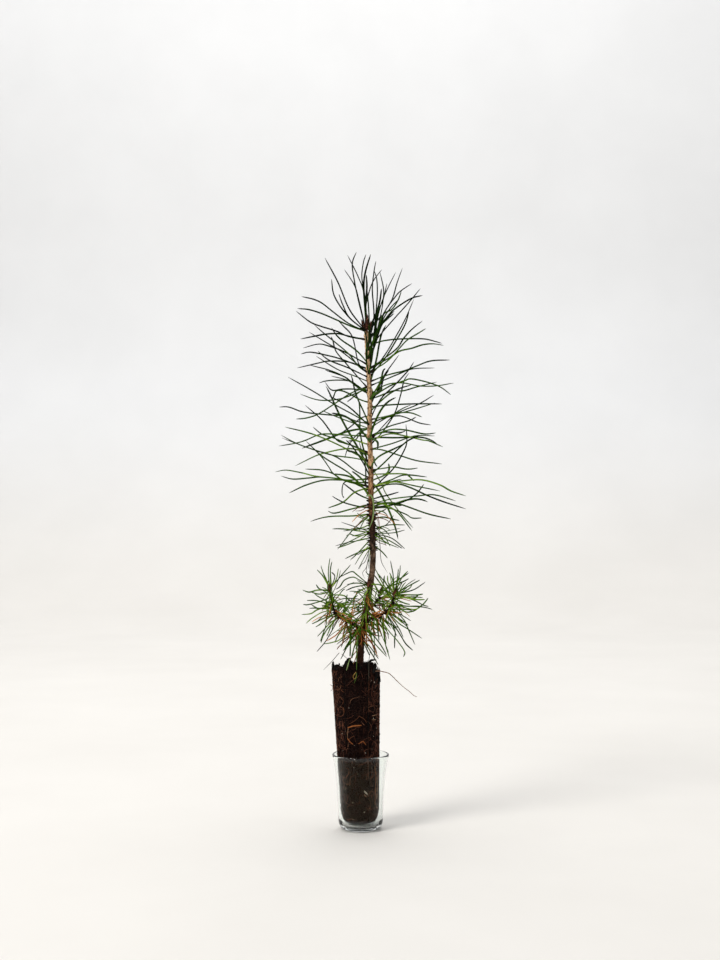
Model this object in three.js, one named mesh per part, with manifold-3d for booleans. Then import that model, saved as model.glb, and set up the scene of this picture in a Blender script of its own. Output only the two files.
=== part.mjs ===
// A plug-grown bristlecone pine seedling that stands in a small clear glass.
//
// Millimetres, +Z up. The origin is the centre of the flat underside of the glass. The front
// faces -Y, and +X is to the viewer's right.
//
// The glass holds a tapered, ribbed plug of peat and roots. The trunk rises from the plug's top,
// sways and tapers to the top tuft. Four short boughs leave it low down. Needles grow in bundles
// of two or three by one seeded rule: golden-angle steps along a shoot, with the angle, length
// and droop of each bundle read from that shoot's own rows.

import * as THREE from "three";
import { mergeVertices } from "three/addons/utils/BufferGeometryUtils.js";
import Module from "manifold-3d";

const wasm = await Module();
wasm.setup();

const { lerp, clamp, degToRad } = THREE.MathUtils;
const vec = (x, y, z) => new THREE.Vector3(x, y, z);

// ---------------------------------------------------------------- driving dimensions
const GAP = 0.3; // clear distance between neighbouring solids
const ROOM = 0.2; // clear distance between the needles of two masses

const GLASS = {
  height: 60,
  footRadius: 11.3, // the flat that it stands on
  heelRadius: 17.8, // outside, where the rounded heel meets the wall
  heelHeight: 6.8,
  flare: 2.0, // even widening of the wall from heel to rim
  lipFlare: 3.2, // more widening, gathered near the rim
  wall: 1.7,
  floor: 2.9, // thickness of the base
  fillet: 6.5, // inside, between floor and wall
  sides: 36,
};

const PLUG = {
  bottom: GLASS.floor + GAP,
  top: 128,
  bottomRadius: 14.6,
  topRadius: 19.2,
  lean: degToRad(1.67), // towards -X
  offset: -0.2, // of the lower end, along X
  ribs: 6, // grooves down the sides, two of which face the front
  ribDepth: 1.1,
  ribWidth: degToRad(5),
  sides: 36,
  landRadius: 5.6, // level soil round the trunk
};
// Rounded lower end of the plug: [share of the radius, height].
const PLUG_END = [
  [0.5, 0.4],
  [0.77, 2.6],
  [0.91, 6.0],
  [1.0, 13.0],
];
// Ragged crust round the top of the plug: [direction, height over the soil, width], degrees.
const CRUST = [
  [180, 5.5, 10],
  [206, 2.0, 12],
  [233, 8.5, 12],
  [266, 6.0, 16],
  [298, 8.5, 14],
  [345, -5.0, 20],
  [20, -4.0, 22],
  [62, 3.0, 20],
  [104, 3.5, 20],
  [142, -1.5, 18],
];

const TRUNK = {
  foot: PLUG.top + GAP,
  tip: 398,
  // offsets to the side and in depth, at equal steps of height from foot to tip
  sway: [-0.7, 1.2, 5.7, 9.6, 9.4, 8.35, 8.1, 7.15, 7.35, 6.0, 4.6],
  depth: [0, -0.3, 0, 0.5, 0.8, 0.6, 0, -0.4, -0.2, 0.3, 0.3],
  footRadius: 2.45,
  tipRadius: 1.65,
  flare: 0.8, // extra radius at the root flare
  flareHeight: 12,
  sides: 10,
};

const NEEDLE = {
  radius: 0.63,
  rootRadius: 0.4,
  taper: 0.35, // share of the radius that is lost before the point
};
const STRIP = { radius: 0.75, sides: 4 }; // slim stem of a mass that lies along the trunk
const TWIG = { radius: 1.15, sides: 5 }; // stem of a mass at a bough's tip
const BOUGH = { radius: 1.4, share: 0.3, sides: 8 }; // share: of its path, before the mass
const BUD = { radius: 1.9, length: 8 };
const TUFT = { height: 8, side: 0.4, budHeight: 12.5, budRadius: 1.8, seed: 823 };
const GOLDEN = degToRad(137.507);
// A needle's outline: [share along, radius].
const NEEDLE_OUTLINE = [
  [0, NEEDLE.rootRadius],
  [0.5, NEEDLE.radius * (1 - 0.5 * NEEDLE.taper)],
  [1, 0],
];

// A dry root that hangs out of the plug's top on the right.
const LOOSE_ROOT = {
  path: [
    [16.3, 0, 125.3],
    [18.5, -0.5, 125.3],
    [24, -1.5, 123.2],
    [30.1, -2, 117.6],
    [37.9, -2.5, 111],
    [44.9, -3, 105.8],
  ],
  radius: 0.55,
  tip: 0.3,
};

// ---------------------------------------------------------------- shoots
// Rows of a shoot: share along, distance between bundles, angle from the shoot and its spread
// of chance, needle length, droop, opening of a bundle, share of bundles that have withered.
const LEADER_ROWS = [
  [0.0, 2.2, 90, 20, 50, 0.14, 12, 0],
  [0.07, 2.6, 74, 30, 74, 0.18, 10, 0],
  [0.25, 2.7, 64, 36, 76, 0.17, 10, 0],
  [0.5, 2.7, 60, 32, 70, 0.17, 10, 0],
  [0.72, 2.6, 54, 28, 64, 0.16, 10, 0],
  [0.88, 2.2, 52, 26, 62, 0.16, 9, 0],
  [1.0, 1.6, 44, 22, 58, 0.12, 8, 0],
];
const TUFT_ROWS = [
  [0.0, 0.95, 40, 14, 52, 0.1, 7, 0],
  [0.5, 0.95, 30, 14, 50, 0.06, 7, 0],
  [1.0, 1.0, 14, 12, 49, 0.02, 8, 0],
];
const WHORL_ROWS = [
  [0.0, 1.3, 112, 22, 22, 0.14, 14, 0.22],
  [1.0, 1.7, 88, 24, 28, 0.14, 12, 0.22],
];
const BOUGH_ROWS = [
  [0.0, 1.9, 92, 28, 21, 0.25, 12, 0.14],
  [0.5, 1.35, 86, 26, 25, 0.22, 12, 0.12],
  [0.85, 1.1, 62, 26, 25, 0.1, 12, 0.05],
  [1.0, 0.75, 28, 24, 23, 0.0, 13, 0],
];
const FOOT_ROWS = [
  [0.0, 2.8, 142, 14, 24, 0.05, 10, 0.3],
  [1.0, 1.8, 122, 26, 28, 0.2, 11, 0.3],
];

// Masses round the trunk: the zone between two heights, cut into tiers by share. A tier's range
// on a side stops short of a bough there.
const allRound = (range) => ({ right: range, back: range, left: range, front: range });
const ROUND = {
  leader: {
    zone: [250, 398],
    rows: LEADER_ROWS,
    seed: 1981,
    tiers: {
      leader_low: allRound([0, 0.32]),
      leader_mid: allRound([0.34, 0.65]),
      leader_top: allRound([0.67, 1.01]),
    },
  },
  whorl: {
    zone: [224, 248],
    rows: WHORL_ROWS,
    seed: 337,
    tiers: { whorl: allRound([0, 1.01]) },
  },
  foot: {
    zone: [142, 180],
    rows: FOOT_ROWS,
    seed: 1188,
    tiers: {
      foot: { right: [0, 0.56], back: [0, 0.79], left: [0, 0.4], front: [0, 0.77] },
      foot_upper: { right: [0.74, 1.01], left: [0.57, 1.01] },
    },
  },
};
const SIDE_DIRECTIONS = { right: 0, back: 90, left: 180, front: 270 };

// Boughs: the path of each from inside the trunk to its bud.
const BOUGHS = {
  left: {
    seed: 895,
    path: [
      [1.5, 0, 158.5],
      [-5, -3, 163],
      [-13, -5, 167.5],
      [-20.5, -6.5, 174],
      [-23, -7, 183],
      [-24.2, -7, 192],
    ],
  },
  right: {
    seed: 432,
    path: [
      [2.6, 0, 164],
      [9, -2.5, 168.5],
      [16.5, -4.5, 171.5],
      [22.5, -6, 176.5],
      [25.5, -6.5, 183],
      [27, -6.5, 188],
    ],
  },
  front: {
    seed: 87,
    path: [
      [3.6, 0, 171],
      [4.8, -7, 177],
      [6, -9, 186],
      [6.4, -9, 196],
    ],
  },
  back: {
    seed: 80,
    path: [
      [4.5, 0, 173],
      [9, 7, 177],
      [14, 11, 182],
      [16.5, 13, 189],
    ],
  },
};

// ---------------------------------------------------------------- chance
function seeded(seed) {
  let state = seed >>> 0;
  return () => {
    state = (state + 0x6d2b79f5) >>> 0;
    let t = state;
    t = Math.imul(t ^ (t >>> 15), t | 1);
    t ^= t + Math.imul(t ^ (t >>> 7), t | 61);
    return ((t ^ (t >>> 14)) >>> 0) / 4294967296;
  };
}

// ---------------------------------------------------------------- solids
// A closed solid from the points and the faces of a geometry.
function solidOf(geometry) {
  geometry.deleteAttribute("normal");
  geometry.deleteAttribute("uv");
  const merged = mergeVertices(geometry, 1e-4);
  const index = merged.index.array;
  const faces = [];
  for (let i = 0; i < index.length; i += 3) {
    const [a, b, c] = index.slice(i, i + 3);
    if (a !== b && b !== c && c !== a) faces.push(a, b, c);
  }
  return new wasm.Manifold(
    new wasm.Mesh({
      numProp: 3,
      vertProperties: merged.attributes.position.array,
      triVerts: new Uint32Array(faces),
    }),
  );
}

// The geometry of a solid's largest body. Scraps that a cut has freed are left out.
function geometryOf(solid) {
  const whole = solid.decompose().reduce((a, b) => (b.volume() > a.volume() ? b : a));
  const mesh = whole.getMesh();
  const points = [];
  for (let i = 0; i < mesh.numVert; i++) {
    points.push(...mesh.vertProperties.subarray(i * mesh.numProp, i * mesh.numProp + 3));
  }
  const geometry = new THREE.BufferGeometry();
  geometry.setAttribute("position", new THREE.Float32BufferAttribute(points, 3));
  geometry.setIndex([...mesh.triVerts]);
  geometry.computeVertexNormals();
  return geometry;
}

// A turned outline of [radius, height] pairs, from the axis at the bottom to the axis at the top.
function turned(outline, sides) {
  const profile = outline.map(([radius, height]) => new THREE.Vector2(radius, height));
  return new THREE.LatheGeometry(profile, sides);
}

// A closed limb: an outline of [share along, radius] pairs, bent along a path. An end that has a
// radius is cut flat.
function limb(path, outline, sides) {
  const profile = outline.map(([share, radius]) => [radius, share]);
  if (outline[0][1] > 0) profile.unshift([0, outline[0][0]]);
  if (outline.at(-1)[1] > 0) profile.push([0, outline.at(-1)[0]]);
  const geometry = turned(profile, sides);
  const chord = path(outline.at(-1)[0]).sub(path(outline[0][0]));
  const helper = Math.abs(chord.y) > 0.7 * chord.length() ? vec(1, 0, 0) : vec(0, 1, 0);
  const frames = new Map();
  for (const [, share] of profile) {
    const tangent = tangentOf(path, share);
    const across = helper.clone().addScaledVector(tangent, -helper.dot(tangent)).normalize();
    frames.set(Math.fround(share), {
      point: path(share),
      aside: tangent.cross(across),
      across,
    });
  }
  const place = geometry.attributes.position;
  for (let i = 0; i < place.count; i++) {
    const { point, aside, across } = frames.get(place.getY(i));
    const spot = point.clone();
    spot.addScaledVector(aside, place.getX(i)).addScaledVector(across, place.getZ(i));
    place.setXYZ(i, spot.x, spot.y, spot.z);
  }
  return solidOf(geometry);
}

// ---------------------------------------------------------------- paths
// A path is a function from a share, 0 to 1, to a point.
function pathThrough(points) {
  const curve = new THREE.CatmullRomCurve3(
    points.map((p) => vec(...p)),
    false,
    "catmullrom",
    0.5,
  );
  return (share) => curve.getPoint(clamp(share, 0, 1));
}

function tangentOf(path, share) {
  const step = path(Math.min(1, share + 0.01)).sub(path(Math.max(0, share - 0.01)));
  return step.normalize();
}

const stretchOf = (path, from, to) => (share) => path(lerp(from, to, share));

function lengthOf(path) {
  const steps = 40;
  let sum = 0;
  for (let i = 0; i < steps; i++) sum += path(i / steps).distanceTo(path((i + 1) / steps));
  return sum;
}

const trunkShare = (z) => (z - TRUNK.foot) / (TRUNK.tip - TRUNK.foot);

const trunkPath = pathThrough(
  TRUNK.sway.map((x, i) => {
    const share = i / (TRUNK.sway.length - 1);
    return [x, TRUNK.depth[i], lerp(TRUNK.foot, TRUNK.tip, share)];
  }),
);

function trunkRadius(z) {
  const flare = Math.max(0, 1 - (z - TRUNK.foot) / TRUNK.flareHeight);
  return lerp(TRUNK.footRadius, TRUNK.tipRadius, trunkShare(z)) + TRUNK.flare * flare * flare;
}

// ---------------------------------------------------------------- needle rule
function rowAt(rows, share) {
  let i = 0;
  while (i < rows.length - 2 && share > rows[i + 1][0]) i += 1;
  const t = clamp((share - rows[i][0]) / (rows[i + 1][0] - rows[i][0]), 0, 1);
  return rows[i].map((value, k) => lerp(value, rows[i + 1][k], t));
}

// The needles of a shoot: each runs base + length * (direction * t + bend * t * t).
function growNeedles({ path, rows, radius, seed }) {
  const chance = seeded(seed);
  const total = lengthOf(path);
  const needles = [];
  for (let along = 0, k = 0; along <= total; k++) {
    const share = along / total;
    const [, spacing, angle, jitter, long, droop, opening, withering] = rowAt(rows, share);
    const axis = tangentOf(path, share);
    const helper = Math.abs(axis.z) < 0.9 ? vec(0, 0, 1) : vec(1, 0, 0);
    const across = helper.addScaledVector(axis, -helper.dot(axis)).normalize();
    const aside = axis.clone().cross(across);
    const turn = GOLDEN * k + (chance() - 0.5) * 0.7;
    const out = across.multiplyScalar(Math.cos(turn)).addScaledVector(aside, Math.sin(turn));
    const side = axis.clone().cross(out);
    const tilt = degToRad(angle + (chance() + chance() - 1) * jitter);
    const bundleLength = long * (0.8 + 0.4 * chance());
    const sag = droop * (0.3 + 1.4 * chance());
    const sweep = (chance() * 2 - 1) * 0.16;
    const count = chance() < 0.82 ? 2 : 3;
    const twist = chance() * Math.PI;
    const curlScale = chance() < withering ? 2 : 1;
    const base = path(share).addScaledVector(out, radius(share) * 0.8);
    const middle = out.clone().multiplyScalar(Math.sin(tilt));
    middle.addScaledVector(axis, Math.cos(tilt));
    const over = middle.clone().cross(side);
    for (let j = 0; j < count; j++) {
      const q = twist + (2 * Math.PI * j) / count;
      const apart = side.clone().multiplyScalar(Math.cos(q)).addScaledVector(over, Math.sin(q));
      const open = Math.tan(degToRad(opening * (0.4 + chance())));
      const direction = middle.clone().addScaledVector(apart, open).normalize();
      const curl = (0.05 + 0.12 * chance()) * (chance() < 0.75 ? 1 : -1) * curlScale;
      const bend = vec(0, 0, -sag).addScaledVector(side, sweep).addScaledVector(apart, curl);
      const length = bundleLength * (0.93 + 0.12 * chance());
      needles.push({ base, direction, bend, length, share, out });
    }
    along += spacing * (0.8 + 0.4 * chance());
  }
  return needles;
}

// The path of a needle whose root is drawn in to a point on its mass's stem.
function needlePath({ base, direction, bend, length }, root) {
  const toRoot = root.clone().sub(base);
  return (t) =>
    base
      .clone()
      .addScaledVector(direction, length * t)
      .addScaledVector(bend, length * t * t)
      .addScaledVector(toRoot, (1 - t) ** 2);
}

// ---------------------------------------------------------------- room between masses
// The least distance between the straight stretches a-b and c-d.
function stretchDistance(a, b, c, d) {
  const u = b.clone().sub(a);
  const v = d.clone().sub(c);
  const w = a.clone().sub(c);
  const [uu, uv, vv, uw, vw] = [u.dot(u), u.dot(v), v.dot(v), u.dot(w), v.dot(w)];
  const skew = uu * vv - uv * uv;
  let s = skew > 1e-9 ? clamp((uv * vw - vv * uw) / skew, 0, 1) : 0;
  let t = (uv * s + vw) / vv;
  if (t < 0 || t > 1) {
    t = clamp(t, 0, 1);
    s = clamp((uv * t - uw) / uu, 0, 1);
  }
  return w.addScaledVector(u, s).addScaledVector(v, -t).length();
}

// Centre lines placed so far, each with its radius and the node that owns it.
const lines = [];

function claim(owner, points, radius) {
  const clear = radius + NEEDLE.radius + ROOM;
  const box = new THREE.Box3().setFromPoints(points).expandByScalar(clear);
  lines.push({ owner, points, clear, box });
}

// Whether a needle along the points keeps clear of every line that another node owns.
function hasRoom(owner, points) {
  const box = new THREE.Box3().setFromPoints(points);
  const near = lines.filter((line) => line.owner !== owner && line.box.intersectsBox(box));
  for (const { points: other, clear } of near) {
    for (let i = 0; i + 1 < points.length; i++) {
      for (let j = 0; j + 1 < other.length; j++) {
        if (stretchDistance(points[i], points[i + 1], other[j], other[j + 1]) < clear) {
          return false;
        }
      }
    }
  }
  return true;
}

function offTrunk(point) {
  if (point.z > TRUNK.tip + 3) return true;
  const axis = trunkPath(trunkShare(point.z));
  const reach = trunkRadius(Math.max(point.z, TRUNK.foot)) + GAP + NEEDLE.radius + 0.2;
  return Math.hypot(point.x - axis.x, point.y - axis.y) > reach;
}

function offPlug(point) {
  const highest = PLUG.top + Math.max(...CRUST.map(([, height]) => height));
  const axisX = PLUG.offset - Math.tan(PLUG.lean) * (point.z - PLUG.bottom);
  const away = Math.hypot(point.x - axisX, point.y) > PLUG.topRadius + 2;
  return away || point.z > highest + NEEDLE.radius + GAP;
}

// ---------------------------------------------------------------- materials
const finish = (name, color, roughness) =>
  new THREE.MeshStandardMaterial({ name, color, roughness, metalness: 0 });

const CLEAR_GLASS = new THREE.MeshStandardMaterial({
  name: "clear_glass",
  color: 0xdfe8e4,
  roughness: 0.05,
  metalness: 0,
  transparent: true,
  opacity: 0.3,
});
const PEAT = finish("peat", 0x2b1a12, 0.95);
const BARK = finish("bark", 0x8a6848, 0.85);
const TWIG_BARK = finish("twig_bark", 0x6b4526, 0.85);
const NEEDLES = finish("needles", 0x2f5a22, 0.5);
const DRY_ROOT = finish("dry_root", 0xa9764e, 0.7);

const seedling = new THREE.Group();
seedling.name = "bristlecone_seedling";

function addMesh(name, solid, material) {
  const mesh = new THREE.Mesh(geometryOf(solid), material);
  mesh.name = name;
  seedling.add(mesh);
}

// ---------------------------------------------------------------- glass
function glassSolid() {
  const wallRadius = (z) => {
    const share = Math.max(0, (z - GLASS.heelHeight) / (GLASS.height - GLASS.heelHeight));
    return GLASS.heelRadius + GLASS.flare * share + GLASS.lipFlare * share ** 4;
  };
  const arc = (radius, height, width, rise, from, to, steps) => {
    const points = [];
    for (let i = 0; i <= steps; i++) {
      const a = degToRad(lerp(from, to, i / steps));
      points.push([radius + width * Math.cos(a), height + rise * Math.sin(a)]);
    }
    return points;
  };
  const heel = GLASS.heelRadius - GLASS.footRadius;
  const lip = GLASS.wall / 2;
  const lipHeight = GLASS.height - lip;
  const wall = [0.3, 0.55, 0.75, 0.9].map((share) => {
    const z = lerp(GLASS.heelHeight, lipHeight, share);
    return [wallRadius(z), z];
  });
  const innerEnd = GLASS.floor + GLASS.fillet;
  const innerRadius = wallRadius(innerEnd) - GLASS.wall;
  const inside = wall.slice(1).map(([radius, z]) => [radius - GLASS.wall, z]);
  return solidOf(
    turned(
      [
        [0, 0],
        ...arc(GLASS.footRadius, GLASS.heelHeight, heel, GLASS.heelHeight, -90, 0, 4),
        ...wall,
        ...arc(wallRadius(lipHeight) - lip, lipHeight, lip, lip, 0, 180, 4),
        ...inside.reverse(),
        ...arc(innerRadius - GLASS.fillet, innerEnd, GLASS.fillet, GLASS.fillet, 0, -90, 4),
        [0, GLASS.floor],
      ],
      GLASS.sides,
    ).rotateX(Math.PI / 2),
  );
}

// ---------------------------------------------------------------- root plug
// How deep a groove is at a direction round the plug, 0 to 1.
function grooveShare(direction) {
  const step = (2 * Math.PI) / PLUG.ribs;
  const off = Math.abs(direction - step * Math.round(direction / step));
  return Math.max(0, 1 - off / PLUG.ribWidth);
}

function crustHeight(direction) {
  const turn = 2 * Math.PI;
  let height = 0;
  for (const [middle, rise, width] of CRUST) {
    const off = Math.abs(direction - degToRad(middle));
    height += rise * Math.exp(-((Math.min(off, turn - off) / degToRad(width)) ** 2));
  }
  return height;
}

function plugSolid() {
  const height = PLUG.top - PLUG.bottom;
  const radiusAt = (z) => lerp(PLUG.bottomRadius, PLUG.topRadius, z / height);
  // Each ring gives a radius and a height at a direction.
  const rings = PLUG_END.map(([share, z]) => (a) => {
    return [share * (radiusAt(z) - PLUG.ribDepth * grooveShare(a)), z];
  });
  for (const share of [0.35, 0.6, 0.8, 0.93]) {
    rings.push((a) => [radiusAt(height * share) - PLUG.ribDepth * grooveShare(a), height * share]);
  }
  const edge = (a) => PLUG.topRadius - PLUG.ribDepth * grooveShare(a);
  rings.push((a) => [edge(a), height + 0.5 * crustHeight(a)]);
  rings.push((a) => [edge(a) - 3, height + crustHeight(a)]);
  rings.push((a) => [edge(a) - 6, height + 0.5 * Math.max(0, crustHeight(a))]);
  rings.push(() => [PLUG.landRadius, height + 0.6]);

  const corners = [[0, 0, 0]];
  for (const ring of rings) {
    for (let i = 0; i < PLUG.sides; i++) {
      const a = (2 * Math.PI * i) / PLUG.sides;
      const [radius, z] = ring(a);
      corners.push([radius * Math.cos(a), radius * Math.sin(a), z]);
    }
  }
  corners.push([0, 0, height + 0.6]);
  const at = (ring, i) => 1 + ring * PLUG.sides + (i % PLUG.sides);
  const last = rings.length - 1;
  const faces = [];
  for (let i = 0; i < PLUG.sides; i++) {
    faces.push(0, at(0, i + 1), at(0, i));
    for (let r = 0; r < last; r++) {
      faces.push(at(r, i), at(r, i + 1), at(r + 1, i));
      faces.push(at(r, i + 1), at(r + 1, i + 1), at(r + 1, i));
    }
    faces.push(corners.length - 1, at(last, i), at(last, i + 1));
  }
  const geometry = new THREE.BufferGeometry();
  geometry.setAttribute("position", new THREE.Float32BufferAttribute(corners.flat(), 3));
  geometry.setIndex(faces);
  geometry.rotateY(-PLUG.lean);
  geometry.translate(PLUG.offset, 0, PLUG.bottom);
  const land = turned(
    [
      [0, 0],
      [PLUG.landRadius, 0],
      [PLUG.landRadius, 20],
      [0, 20],
    ],
    12,
  );
  land.rotateX(Math.PI / 2);
  land.translate(0, 0, PLUG.top);
  return solidOf(geometry).subtract(solidOf(land));
}

// ---------------------------------------------------------------- limbs
function trunkSolid(extra) {
  const steps = 20;
  const outline = [];
  for (let i = 0; i <= steps; i++) {
    const share = (i / steps) ** 1.15;
    outline.push([share, trunkRadius(lerp(TRUNK.foot, TRUNK.tip, share)) + extra]);
  }
  return limb(trunkPath, outline, TRUNK.sides);
}

const trunkSpace = trunkSolid(GAP);
const FIFTHS = [0, 0.25, 0.5, 0.75, 1];

function boughSolid(path) {
  const outline = FIFTHS.map((share) => [share, lerp(BOUGH.radius, TWIG.radius, share)]);
  return limb(path, outline, BOUGH.sides).subtract(trunkSpace);
}

// ---------------------------------------------------------------- masses
// A mass is a stem, the lines that its stem fills, and the needles that may stand on it.

// The mass on the twig that carries on from a bough and ends in a bud.
function boughMass(side, { path: points, seed }) {
  const path = pathThrough(points);
  const start = BOUGH.share + GAP / lengthOf(path);
  const twig = stretchOf(path, start, 1);
  const tip = path(1);
  const onward = tangentOf(path, 1).multiplyScalar(BUD.length);
  // The twig fills shares 0 to 0.8 of the stem, and the bud the rest.
  const stemPath = (share) => {
    return share <= 0.8 ? twig(share / 0.8) : tip.clone().addScaledVector(onward, share * 5 - 4);
  };
  const outline = FIFTHS.map((share) => [share * 0.8, TWIG.radius]);
  outline.push([0.87, BUD.radius], [1, 0]);
  const all = growNeedles({ path, rows: BOUGH_ROWS, radius: () => TWIG.radius, seed });
  return {
    name: `needles_${side}`,
    stem: limb(stemPath, outline, TWIG.sides),
    fills: [
      [FIFTHS.map(twig), TWIG.radius],
      [[0.8, 0.87, 1].map(stemPath), BUD.radius],
    ],
    needles: all.filter((needle) => needle.share > start),
    rootOf: (needle) => path(needle.share),
  };
}

// The top tuft: its stem is the long bud over the trunk's tip.
function tuftMass() {
  const foot = trunkPath(1).add(vec(0, 0, GAP));
  const rise = (height) => (share) => foot.clone().add(vec(TUFT.side * share, 0, height * share));
  const shoot = rise(TUFT.height);
  const bud = rise(TUFT.budHeight);
  const outline = [
    [0, 1.5],
    [0.35, TUFT.budRadius],
    [0.65, TUFT.budRadius],
    [1, 0],
  ];
  return {
    name: "needles_tuft",
    stem: limb(bud, outline, TWIG.sides),
    fills: [[[bud(0), bud(1)], TUFT.budRadius]],
    needles: growNeedles({ path: shoot, rows: TUFT_ROWS, radius: () => 1.3, seed: TUFT.seed }),
    rootOf: (needle) => shoot(needle.share),
  };
}

// Masses round the trunk: on each side a slim stem lies along the bark, a gap away from it.
function roundMasses({ zone: [low, high], rows, seed, tiers }) {
  const path = stretchOf(trunkPath, trunkShare(low), trunkShare(high));
  const radius = (share) => trunkRadius(lerp(low, high, share));
  const all = growNeedles({ path, rows, radius, seed });
  const pad = 1 / (high - low);
  const masses = [];
  for (const [tier, sides] of Object.entries(tiers)) {
    for (const [side, [from, to]] of Object.entries(sides)) {
      const direction = degToRad(SIDE_DIRECTIONS[side]);
      const facing = vec(Math.cos(direction), Math.sin(direction), 0);
      const stripAt = (share) => {
        return path(share).addScaledVector(facing, radius(share) + GAP + STRIP.radius + 0.1);
      };
      const faces = ({ out }) => out.dot(facing) >= Math.SQRT1_2 * Math.hypot(out.x, out.y);
      const own = all.filter((n) => n.share >= from && n.share < to && faces(n));
      const shares = own.map((needle) => needle.share);
      const strip = stretchOf(
        stripAt,
        Math.max(from, Math.min(...shares) - pad),
        Math.min(to, Math.max(...shares) + pad),
      );
      masses.push({
        name: `${tier}_${side}`,
        stem: limb(strip, FIFTHS.map((share) => [share, STRIP.radius]), STRIP.sides),
        fills: [[FIFTHS.map(strip), STRIP.radius]],
        needles: own,
        rootOf: (needle) => stripAt(needle.share),
      });
    }
  }
  return masses;
}

// Fuses to a mass's stem each needle that keeps clear of limbs, plug and other masses.
function massSolid({ name, stem, needles, rootOf }) {
  let solid = stem;
  for (const needle of needles) {
    const path = needlePath(needle, rootOf(needle));
    const points = NEEDLE_OUTLINE.map(([share]) => path(share));
    if (!points.slice(1).every((point) => offTrunk(point) && offPlug(point))) continue;
    if (!hasRoom(name, points)) continue;
    claim(name, points, NEEDLE.radius);
    solid = solid.add(limb(path, NEEDLE_OUTLINE, 3));
  }
  return solid.subtract(trunkSpace);
}

// ---------------------------------------------------------------- assembly
addMesh("glass_cup", glassSolid(), CLEAR_GLASS);
addMesh("root_plug", plugSolid(), PEAT);
addMesh("trunk", trunkSolid(0), BARK);

const rootPath = pathThrough(LOOSE_ROOT.path);
const rootOutline = FIFTHS.map((s) => [s, lerp(LOOSE_ROOT.radius, LOOSE_ROOT.tip, s)]);
addMesh("loose_root", limb(rootPath, rootOutline, 5), DRY_ROOT);

claim("loose_root", FIFTHS.map(rootPath), LOOSE_ROOT.radius);

for (const [side, bough] of Object.entries(BOUGHS)) {
  const lower = stretchOf(pathThrough(bough.path), 0, BOUGH.share);
  addMesh(`bough_${side}`, boughSolid(lower), TWIG_BARK);
  claim(`bough_${side}`, FIFTHS.map(lower), BOUGH.radius);
}

const masses = [
  ...Object.entries(BOUGHS).map(([side, bough]) => boughMass(side, bough)),
  tuftMass(),
  ...Object.values(ROUND).flatMap(roundMasses),
];
for (const { name, fills } of masses) {
  for (const [points, radius] of fills) claim(name, points, radius);
}
for (const mass of masses) addMesh(mass.name, massSolid(mass), NEEDLES);

export default seedling;
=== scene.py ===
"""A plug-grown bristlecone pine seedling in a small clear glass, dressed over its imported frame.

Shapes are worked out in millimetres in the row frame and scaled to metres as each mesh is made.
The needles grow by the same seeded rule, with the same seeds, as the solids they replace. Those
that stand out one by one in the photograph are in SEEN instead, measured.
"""

import itertools
import math

import bpy
import numpy as np
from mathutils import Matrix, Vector


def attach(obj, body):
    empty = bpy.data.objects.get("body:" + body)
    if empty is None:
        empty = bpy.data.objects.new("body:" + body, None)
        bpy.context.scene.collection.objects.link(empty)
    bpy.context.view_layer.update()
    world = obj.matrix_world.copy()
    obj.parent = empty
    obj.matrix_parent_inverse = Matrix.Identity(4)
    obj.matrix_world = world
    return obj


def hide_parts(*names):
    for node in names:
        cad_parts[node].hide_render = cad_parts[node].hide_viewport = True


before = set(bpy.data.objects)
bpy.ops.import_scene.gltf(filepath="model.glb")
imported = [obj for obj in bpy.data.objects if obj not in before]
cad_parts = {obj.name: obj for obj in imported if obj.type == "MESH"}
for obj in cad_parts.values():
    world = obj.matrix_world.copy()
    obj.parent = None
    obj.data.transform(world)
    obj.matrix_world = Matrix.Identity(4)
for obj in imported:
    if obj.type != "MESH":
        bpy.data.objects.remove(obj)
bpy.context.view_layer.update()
MM = 0.001

# ---------------------------------------------------------------- driving dimensions, millimetres
GLASS = dict(
    height=60, foot_radius=11.3, heel_radius=17.8, heel_height=6.8,
    flare=2.0, lip_flare=3.2, wall=1.7, floor=2.9, fillet=6.5,
)
PLUG = dict(
    bottom=3.2, top=128, bottom_radius=14.6, top_radius=19.2,
    lean=math.radians(1.67), offset=-0.2, ribs=6, rib_depth=1.1, land_radius=5.6,
)
PLUG_END = [(0, 0), (0.5, 0.4), (0.77, 2.6), (0.91, 6.0), (1.0, 13.0)]
# Ragged crust round the top: direction in degrees, height over the soil, width in degrees.
CRUST = [
    (180, 5.5, 10), (206, 2.0, 12), (233, 8.5, 12), (266, 6.0, 16), (298, 8.5, 14),
    (345, -5.0, 20), (20, -4.0, 22), (62, 3.0, 20), (104, 3.5, 20), (142, -1.5, 18),
]
# How high the crust stands as seen from the front, on the plane through the axis: (x, z).
SKYLINE = [
    (-22.8, 127.0), (-22.2, 133.8), (-20.8, 131.0), (-18.6, 131.8), (-17.1, 132.7), (-16.4, 129.5),
    (-13.0, 128.7), (-12.4, 131.6), (-10.6, 135.6), (-9.4, 136.7), (-7.8, 135.1), (-6.9, 132.3),
    (-4.2, 134.4), (4.3, 134.4), (6.7, 135.6), (8.9, 136.4), (11.8, 136.4), (12.2, 130.3),
    (12.8, 126.0), (14.2, 122.7), (15.4, 118.4),
]
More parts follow.
